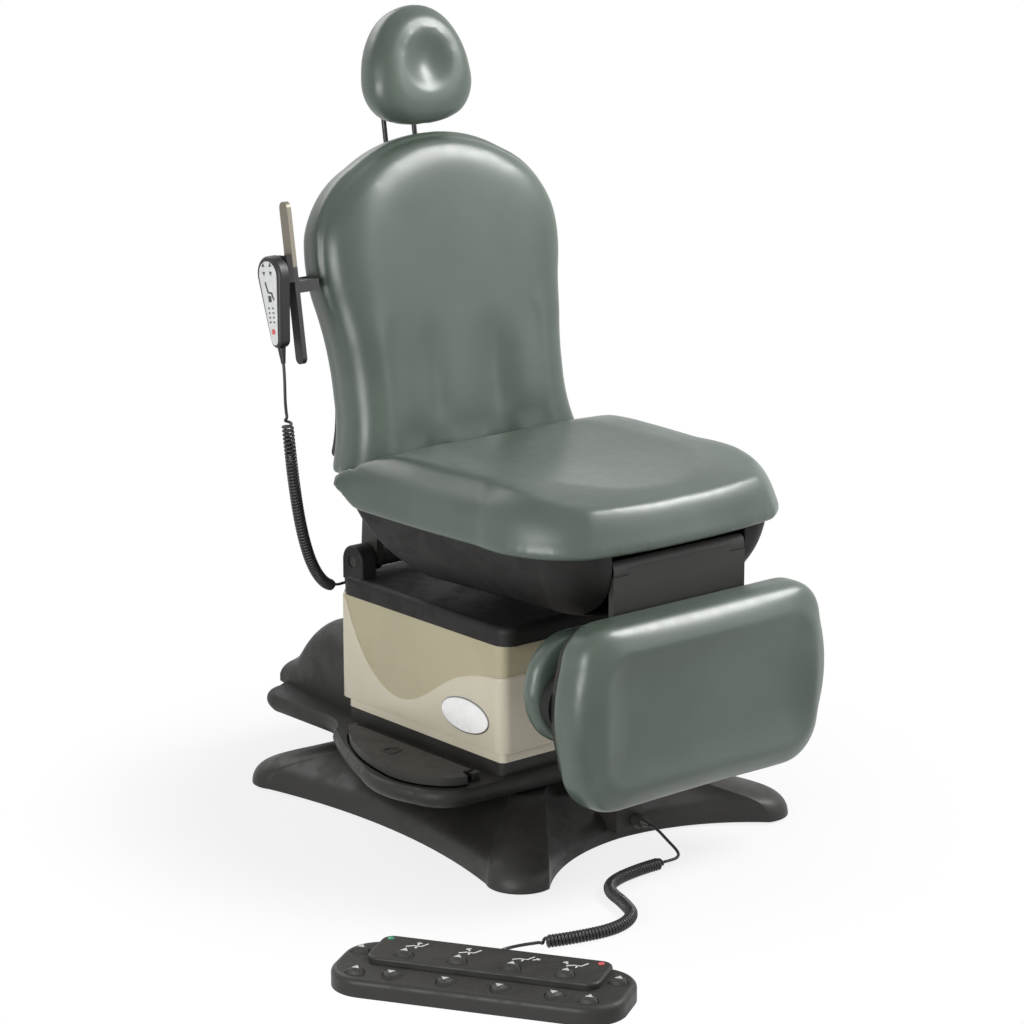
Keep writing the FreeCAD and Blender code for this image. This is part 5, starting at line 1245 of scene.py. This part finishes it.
@dataclass
class LiftBox:
    """The beige box: raised lower panel with a wave along its top edge, plain oval badge.

    Attributes:
        half_x: Half of the box's width.
        half_y: Half of its length.
        corner: Radius of its corners.
        low: Height of its lower edge.
        proud: How far the panel stands out of it.
        around: Points round a band.
        rim: Heights of the rim's lower and upper edge.
        wave: Places along the side, and the panel's height there.
        badge_at: The badge's middle.
        badge_half: Its half width and half height.
        badge_rim: Width of the rim round it.
    """

    half_x: float = 0.190
    half_y: float = 0.202
    corner: float = 0.016
    low: float = 0.1645
    proud: float = 0.0030
    around: int = 720
    rim: tuple[float, float] = (0.3372, 0.3410)
    wave: tuple[tuple[float, float], ...] = (
        (0.203, 0.3375), (0.190, 0.333), (0.180, 0.312), (0.166, 0.283), (0.145, 0.252), (0.118, 0.224), (0.085, 0.204),
        (0.048, 0.196), (0.012, 0.204), (-0.021, 0.221), (-0.052, 0.241), (-0.084, 0.260), (-0.115, 0.272),
        (-0.150, 0.281), (-0.203, 0.287))
    badge_at: tuple[float, float] = (-0.118, 0.209)
    badge_half: tuple[float, float] = (0.056, 0.026)
    badge_rim: float = 0.002

    def edge_height(self, y: float) -> float:
        """Height of the wave at a place along the side."""
        line = smooth_line(self.wave)
        return float(np.interp(-y, [-p[0] for p in line], [p[1] for p in line]))

    def panel(self) -> bpy.types.Object:
        """Build the raised panel round the box.

        Returns:
            The panel.
        """
        steps = ((None, -0.001), (None, 0.8), (0.0012, 1.0), (-0.0045, 1.0), (-0.0026, 0.93), (-0.0011, 0.72),
                 (-0.0002, 0.35), (0.0, -0.001))
        return publish("box_panel", self.band(steps, self.edge_height), BEIGE_LIGHT, "carriage", angle=60.0)

    def top_rim(self) -> None:
        """Build the slim pale rim under the cover."""
        low, high = self.rim
        steps = ((low - self.low, -0.001), (low - self.low + 0.0002, 0.35), (-0.0004, 0.35), (0.0, -0.001))
        publish("box_rim", self.band(steps, lambda _: high), BEIGE_LIGHT, "carriage", angle=60.0)

    def band(self, steps: Sequence[tuple[Optional[float], float]],
             height: Callable[[float], float]) -> bmesh.types.BMesh:
        """A closed band round the box.

        Args:
            steps: Its section from the bottom up: height above the bottom, or below the top where it is not
                above nought (None is the bottom itself), and how far out, as a share of the proud height.
            height: Height of its top at a place along the side.

        Returns:
            The new bmesh.
        """
        bm = bmesh.new()
        loops = []
        for up, out in steps:
            ring = bmesh.ops.create_circle(bm, cap_ends=False, segments=self.around, radius=1.0)["verts"]
            for vert, (x, y) in zip(ring, self.perimeter(self.around, self.proud * out if out > 0 else out)):
                vert.co = (x, y, self.low if up is None else (self.low + up if up > 0 else height(y) + up))
            loops.append(list({edge for vert in ring for edge in vert.link_edges}))
        for lower, upper in zip(loops, loops[1:] + loops[:1]):
            bmesh.ops.bridge_loops(bm, edges=lower + upper)
        return bm

    def perimeter(self, count: int, out: float = 0.0) -> list[tuple[float, float]]:
        """Points round the box, evenly spaced.

        Args:
            count: How many.
            out: How far out of the box's wall.

        Returns:
            Points in x and y.
        """
        ring = round_box(self.half_x + out, self.half_y + out, self.corner + out, 10)
        ring.append(ring[0])
        ring_array = np.array(ring)
        along = np.concatenate(([0.0], np.cumsum(np.linalg.norm(np.diff(ring_array, axis=0), axis=1))))
        spots = np.linspace(0.0, along[-1], count, endpoint=False)
        across, length = (np.interp(spots, along, ring_array[:, k]) for k in (0, 1))
        return list(zip(across.tolist(), length.tolist()))

    def badge(self) -> None:
        """Build a plain oval plate on each side."""
        for name, side in (("right", -1), ("left", 1)):
            y, z = self.badge_at
            place = (Matrix.Translation((side * (self.half_x + self.proud), y, z))
                     @ Matrix.Rotation(side * math.pi / 2, 4, "Y") @ Matrix.Rotation(math.pi / 2, 4, "Z"))
            rim = plate(ellipse(*(half + self.badge_rim for half in self.badge_half), 64), 0.0016, 0.0008)
            publish(f"badge_rim_{name}", rim, ZINC, "carriage", place)
            face = plate(ellipse(*self.badge_half, 64), 0.0030, 0.0012, 3)
            publish(f"badge_{name}", face, BADGE_WHITE, "carriage", place)

    def build(self) -> None:
        """Dress the box and add panel and badge."""
        dress("shroud_upper", BEIGE_DARK)
        for node in ("shroud_middle", "shroud_lower"):
            dress(node, BEIGE_LIGHT)
        for node in ("lift_column_lower", "lift_column_middle", "lift_column_upper", "tilt_rod"):
            dress(node, STEEL)
        dress("top_cover", PAN_BLACK)
        self.panel()
        self.top_rim()
        self.badge()


@dataclass
class SeatWorks:
    """Pan, frame and drives under the seat, and the covers of the foot section.

    Attributes:
        hinge: The foot hinge's axis, in y and z.
        cover: Inner and outer radius of the cover round it.
        cover_half: Half of the cover's width.
        cover_sweep: Where the cover begins and ends round the axis, in degrees above the front.
        end_x: Inner and outer end of the shell's end pieces.
        end_z: Their middle height and half height.
        end_n: Their back and front, forward of the turntable's axis.
    """

    hinge: tuple[float, float] = (-0.3715, 0.4835)
    cover: tuple[float, float] = (0.0200, 0.0225)
    cover_half: float = 0.133
    cover_sweep: tuple[float, float] = (-14.0, 50.0)
    end_x: tuple[float, float] = (0.132, 0.246)
    end_z: tuple[float, float] = (0.292, 0.070)
    end_n: tuple[float, float] = (0.3545, 0.3765)

    def hinge_cover(self) -> None:
        """Build the rounded cover over the foot hinge, which turns with the foot section."""
        y, z = self.hinge
        low, high = (math.radians(turn) for turn in self.cover_sweep)
        bm = bmesh.new()
        ring = [bm.verts.new((side * self.cover_half, y - radius * math.cos(low), z + radius * math.sin(low)))
                for side, radius in ((-1, self.cover[0]), (1, self.cover[0]), (1, self.cover[1]), (-1, self.cover[1]))]
        start = bm.faces.new(ring)
        bmesh.ops.spin(bm, geom=[start, *start.edges, *ring], cent=(0.0, y, z), axis=(-1.0, 0.0, 0.0),
                       angle=high - low, steps=16, use_merge=False)
        publish("hinge_cover", bm, POWDER, "foot")

    def shell_ends(self) -> None:
        """Build the rounded black ends between the foot pad and the pad behind it."""
        (inner, outer), (middle, half), (back, front) = self.end_x, self.end_z, self.end_n
        for name, side in (("right", -1), ("left", 1)):
            arc = [(inner + (outer - inner) * math.sin(t), half * math.cos(t)) for t in np.linspace(0.0, math.pi, 25)]
            block = plate([(side * x, middle + z) for x, z in arc], front - back, 0.004)
            publish(f"shell_end_{name}", block, PAN_BLACK, "foot",
                    Matrix(((1, 0, 0, 0), (0, 0, 1, -front), (0, 1, 0, 0), (0, 0, 0, 1))))

    def build(self) -> None:
        """Dress the metalwork and pan."""
        dress("seat_pan", PAN_BLACK)
        dress("handset_socket", CHARCOAL)
        for node in ("seat_frame", "seat_actuators", "back_frame", "headrest_bracket", "foot_frame"):
            dress(node, POWDER)
        for node in ("back_rod", "foot_rod", "extension_rails"):
            dress(node, STEEL)
        dress("headrest_rods", HANDSET_BLACK)
        for node in ("foot_shell", "headrest_guides", "handset_cradle"):
            dress(node, CHARCOAL)
        dress("accessory_rail", ALLOY)
        self.hinge_cover()
        self.shell_ends()


@dataclass
class Handset:
    """Handset with its printed key sheet.

    Attributes:
        head_v: Middle of its large end, up the back.
        tail_v: Middle of its small end.
        across: Its middle across that.
        face_x: Place of its face.
        sheet: Thickness of the key sheet.
        ink: Thickness of a print.
        arrow: Radius of an arrow.
        arrows: Place and way of each arrow.
        chair: Line of the chair figure.
        dots: Place of the first row of key dots, distance of the rows and half distance of the columns.
        stop_v: Place of the stop key.
        stop: Its radius.
    """

    head_v: float = 0.330
    tail_v: float = 0.230
    across: float = -0.001
    face_x: float = -0.337
    sheet: float = 0.0007
    ink: float = 0.0004
    arrow: float = 0.0042
    arrows: tuple[tuple[float, float, int], ...] = (
        (0.346, -0.009, 1), (0.346, 0.009, 1), (0.334, -0.009, -1), (0.334, 0.009, -1))
    chair: tuple[tuple[float, float], ...] = ((0.292, 0.010), (0.303, 0.006), (0.304, -0.003), (0.320, -0.008))
    dots: tuple[float, float, float] = (0.258, 0.0072, 0.005)
    stop_v: float = 0.243
    stop: float = 0.0045

    def outline(self, head: float, tail: float) -> list[tuple[float, float]]:
        """Corners of a teardrop about the handset's middle.

        Args:
            head: Radius of the large end.
            tail: Radius of the small end.

        Returns:
            Points in v and n.
        """
        lean = math.asin((head - tail) / (self.head_v - self.tail_v))
        out = []
        for centre, radius, first, last in ((self.head_v, head, -math.pi / 2 - lean, math.pi / 2 + lean),
                                            (self.tail_v, tail, math.pi / 2 + lean, 3 * math.pi / 2 - lean)):
            for k in range(17):
                turn = first + (last - first) * k / 16
                out.append((centre + radius * math.cos(turn), self.across + radius * math.sin(turn)))
        return out

    def place(self) -> Matrix:
        """Frame of the handset's face: x up the handset, y across, z out of it."""
        turn = Matrix(((0, 0, -1, self.face_x), (1, 0, 0, 0), (0, 1, 0, 0), (0, 0, 0, 1)))
        return BACK_FRAME @ turn

    def on_sheet(self, bm: bmesh.types.BMesh, v: float, n: float = 0.0) -> bmesh.types.BMesh:
        """Move a print to its place on the key sheet."""
        return moved(bm, Matrix.Translation((v, self.across + n, self.sheet)))

    def prints(self) -> bmesh.types.BMesh:
        """Arrows, chair figure and key dots, in the frame of the handset's face.

        Returns:
            The new bmesh.
        """
        marks = []
        for v, n, way in self.arrows:
            turns = [2 * math.pi * k / 3 for k in range(3)]
            corners = [(self.arrow * math.cos(t) * way, self.arrow * math.sin(t) * way) for t in turns]
            marks.append(self.on_sheet(plate(corners, self.ink, 0.0), v, n))
        marks.append(self.on_sheet(stroke(self.chair, 0.0034, self.ink), 0.0))
        marks.append(self.on_sheet(plate(round_box(0.005, 0.004, 0.001), self.ink, 0.0), 0.294))
        first, apart, half = self.dots
        for k in range(4):
            for n in (-half, half):
                dot = plate(round_box(0.0012, 0.0022, 0.0008, 2), self.ink, 0.0)
                marks.append(self.on_sheet(dot, first + apart * k, n))
        return merge(marks)

    def build(self) -> None:
        """Dress the shell and lay the key sheet on it."""
        dress("handset_shell", HANDSET_BLACK)
        place = self.place()
        sheet = plate(self.outline(0.0225, 0.008), self.sheet, 0.0003)
        publish("handset_label", sheet, LABEL_WHITE, "handset", place)
        publish("handset_marks", self.prints(), ICON_GREY, "handset", place)
        stop = plate(ellipse(self.stop, self.stop, 20), 0.0016, 0.0006)
        stop = moved(stop, Matrix.Translation((self.stop_v, self.across, 0.0)))
        publish("handset_stop_key", stop, SIGNAL_RED, "handset", place)


@dataclass
class FootControl:
    """Foot control with printed marks.

    Attributes:
        pitch: Distance between two pairs of buttons.
        tier_z: Height of the upper tier's face.
        deck_z: Height of the lower tier's face.
        rows: Places of the two rows, across the control.
        sides: Names and places of the side buttons.
        dome: Height of a button above its tier.
        arrow_size: Radius of an arrow.
        mark_at: Place of a mark beside its pair of buttons.
        mark_line: Width of a mark's lines.
        mark_rise: How far they stand up.
        mark_scale: How much larger a mark is than it is drawn.
        lamps: Names, places and finishes of the lights.
        lamp_y: Their place across the control.
        lamp: Their radius.
    """

    pitch: float = 0.079
    tier_z: float = 0.037
    deck_z: float = 0.027
    rows: tuple[float, float] = (0.008, -0.050)
    sides: tuple[tuple[str, float, float], ...] = (("rear", 0.190, 0.026), ("front", 0.170, -0.050))
    dome: float = 0.0073
    arrow_size: float = 0.0064
    mark_at: tuple[float, float] = (0.006, 0.044)
    mark_line: float = 0.0021
    mark_rise: float = 0.0003
    mark_scale: float = 1.15
    lamps: tuple[tuple[str, float, Finish], ...] = (
        ("ready_light", -0.158, SIGNAL_GREEN), ("stop_light", 0.154, SIGNAL_RED))
    lamp_y: float = 0.060
    lamp: float = 0.0048

    def mark(self, kind: Mark) -> bmesh.types.BMesh:
        """A line figure of a reclined chair with an arrow at the part that moves.

        Args:
            kind: What moves.

        Returns:
            The figure, lying on z = 0.
        """
        lines = [[(-0.013, -0.006), (-0.005, -0.001), (0.005, -0.001), (0.011, 0.010)],
                 [(0.0, -0.001), (0.0, -0.008)]]
        spot, turn = {Mark.LIFT: ((0.0, 0.006), 0.0), Mark.TILT: ((-0.004, 0.007), 0.5),
                      Mark.BACK: ((0.015, 0.002), -0.9), Mark.FOOT: ((-0.015, 0.003), 0.7)}[kind]
        cos, sin = math.cos(turn), math.sin(turn)
        for path in ([(0.0, -0.004), (0.0, 0.005)], [(-0.003, 0.002), (0.0, 0.005), (0.003, 0.002)]):
            lines.append([(spot[0] + x * cos - y * sin, spot[1] + x * sin + y * cos) for x, y in path])
        figure = merge(stroke(path, self.mark_line, self.mark_rise) for path in lines)
        return moved(figure, Matrix.Diagonal((self.mark_scale, self.mark_scale, 1.0, 1.0)))

    def arrow(self, button: str, x: float, y: float, surface: float, way: int) -> None:
        """Print the triangle on one button's dome.

        Args:
            button: The button's body.
            x: Its place along the control.
            y: Its place across the control.
            surface: Height of the face round it.
            way: 1 for a triangle that points to the chair, -1 for one that points away.
        """
        turns = [way * math.pi / 2 + 2 * math.pi * k / 3 for k in range(3)]
        corners = [(self.arrow_size * math.cos(t), self.arrow_size * math.sin(t)) for t in turns]
        publish(f"arrow_{button}", plate(corners, 0.0005, 0.0), LABEL_GREY, button,
                CONTROL_FRAME @ Matrix.Translation((x, y, surface + self.dome - 0.0001)))

    def build(self) -> None:
        """Dress the housing and buttons and print the marks."""
        dress("foot_control_housing", CHARCOAL)
        for node in FRAME["nodes"]:
            if node.startswith("button_"):
                dress(node, PEDAL_BLACK)
        for number, kind in enumerate(Mark):
            x = (number - 1.5) * self.pitch
            publish(f"control_mark_{kind.value}", self.mark(kind), ICON_WHITE, "base",
                    CONTROL_FRAME @ Matrix.Translation((x + self.mark_at[0], self.mark_at[1], self.tier_z)))
            self.arrow(f"button_up_{number + 1}", x, self.rows[0], self.tier_z, 1)
            self.arrow(f"button_down_{number + 1}", x, self.rows[1], self.deck_z, -1)
        for side, sign in (("left", -1), ("right", 1)):
            for name, x, y in self.sides:
                self.arrow(f"button_{side}_{name}", sign * x, y, self.deck_z, 1)
        for name, x, finish in self.lamps:
            publish(name, plate(ellipse(self.lamp, self.lamp, 20), 0.0012, 0.0005), finish, "base",
                    CONTROL_FRAME @ Matrix.Translation((x, self.lamp_y, self.tier_z)))


@dataclass(frozen=True)
class SoftBox:
    """One soft light.

    Attributes:
        name: Its name.
        at: Where it stands.
        aim: What it points at.
        size: Its width and height.
        watts: Its power.
    """

    name: str
    at: Point
    aim: Point
    size: tuple[float, float]
    watts: float

    def build(self) -> None:
        """Set up the light."""
        data = bpy.data.lights.new(self.name, "AREA")
        data.shape = "RECTANGLE"
        data.size, data.size_y = self.size
        data.energy = self.watts
        lamp = bpy.data.objects.new(self.name, data)
        lamp.location = self.at
        lamp.rotation_euler = (Vector(self.aim) - Vector(self.at)).to_track_quat("-Z", "Y").to_euler()
        bpy.context.scene.collection.objects.link(lamp)


@dataclass
class Studio:
    """Camera, floor and lights.

    Attributes:
        lens: Focal length, for a sensor 36 mm wide.
        camera_at: Where the camera stands.
        pitch: Its pitch in degrees.
        azimuth: Its turn in degrees.
        ambient: Strength of the surroundings as light.
        floor_tone: Grey of the floor's paint.
        floor_white: Share of plain white near the object.
        floor_fade: Distances between which the paint runs out into white.
        lights: The soft boxes.
    """

    lens: float = 36.0 * 3476.0 / 1024.0
    camera_at: Point = (-3.4344, -4.0930, 1.87)
    pitch: float = 75.4
    azimuth: float = -40.0
    ambient: float = 0.10
    floor_tone: float = 0.72
    floor_white: float = 0.82
    floor_fade: tuple[float, float] = (0.42, 0.82)
    lights: tuple[SoftBox, ...] = (
        SoftBox("key_box", (1.74, -1.3, 2.5), (0.0, -0.3, 0.55), (1.2, 1.2), 98.0),
        SoftBox("rear_box", (-0.2, 2.4, 2.6), (0.0, 0.0, 0.7), (2.4, 1.4), 30.0),
        SoftBox("left_box", (-3.1, -1.1, 1.0), (0.0, 0.0, 0.3), (1.8, 1.5), 70.0),
        SoftBox("front_box", (1.8, -2.9, 1.4), (0.0, 0.0, 0.5), (1.0, 1.6), 10.0))

    def camera(self) -> None:
        """Set up the camera."""
        data = bpy.data.cameras.new("camera")
        data.lens = self.lens
        data.sensor_width = 36.0
        data.clip_end = 50.0
        eye = bpy.data.objects.new("camera", data)
        eye.location = self.camera_at
        eye.rotation_euler = (math.radians(self.pitch), 0.0, math.radians(self.azimuth))
        bpy.context.scene.collection.objects.link(eye)
        bpy.context.scene.camera = eye

    def world(self) -> None:
        """Pale surroundings: white where they are seen, grey as light."""
        g = WorldGraph("studio")
        soft = g.node("ShaderNodeBackground", None, {"Color": (0.95, 0.97, 1.0, 1.0), "Strength": self.ambient})
        white = g.node("ShaderNodeBackground", None, {"Color": (1.0, 1.0, 1.0, 1.0), "Strength": 1.0})
        g.close(g.node("ShaderNodeMixShader", None, {0: g.seen(), 1: soft, 2: white}))
        bpy.context.scene.world = g.world

    def floor_paint(self) -> bpy.types.Material:
        """Pale matt paint near the object that runs out into plain white.

        Returns:
            The material.
        """
        g = Graph("floor_paint")
        away = g.node("ShaderNodeVectorMath", {"operation": "LENGTH"}, {0: g.coords()}, "Value")
        far = g.span(away, *self.floor_fade, self.floor_white, 1.0)
        matt = g.node("ShaderNodeBsdfDiffuse", None, {"Color": (self.floor_tone,) * 3 + (1.0,)})
        white = g.node("ShaderNodeEmission", None, {"Color": (1.0, 1.0, 1.0, 1.0), "Strength": 1.0})
        g.close(g.node("ShaderNodeMixShader", None, {0: far * g.seen(), 1: matt, 2: white}))
        return g.material

    def floor(self) -> None:
        """A pale floor."""
        bm = bmesh.new()
        bmesh.ops.create_grid(bm, x_segments=2, y_segments=2, size=12.0)
        bmesh.ops.translate(bm, vec=(0.0, 0.0, -0.0004), verts=bm.verts)
        mesh = bpy.data.meshes.new("floor")
        bm.to_mesh(mesh)
        bm.free()
        mesh.materials.append(self.floor_paint())
        floor = bpy.data.objects.new("floor", mesh)
        bpy.context.scene.collection.objects.link(floor)

    def build(self) -> None:
        """Set up floor, surroundings and lights."""
        bpy.context.scene.view_settings.view_transform = "Standard"
        self.floor()
        self.world()
        for light in self.lights:
            light.build()


def main() -> None:
    """Build the classes in order."""
    logging.basicConfig(level=logging.INFO, format="%(name)s: %(message)s")
    bpy.ops.wm.read_factory_settings(use_empty=True)
    FRAME.update(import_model())
    studio = Studio()
    studio.camera()
    Cords().build()
    for assembly in (Pedestal(), LiftBox(), SeatWorks(), Handset(), FootControl(), Upholstery(), studio):
        assembly.build()


if __name__ == "__main__":
    main()
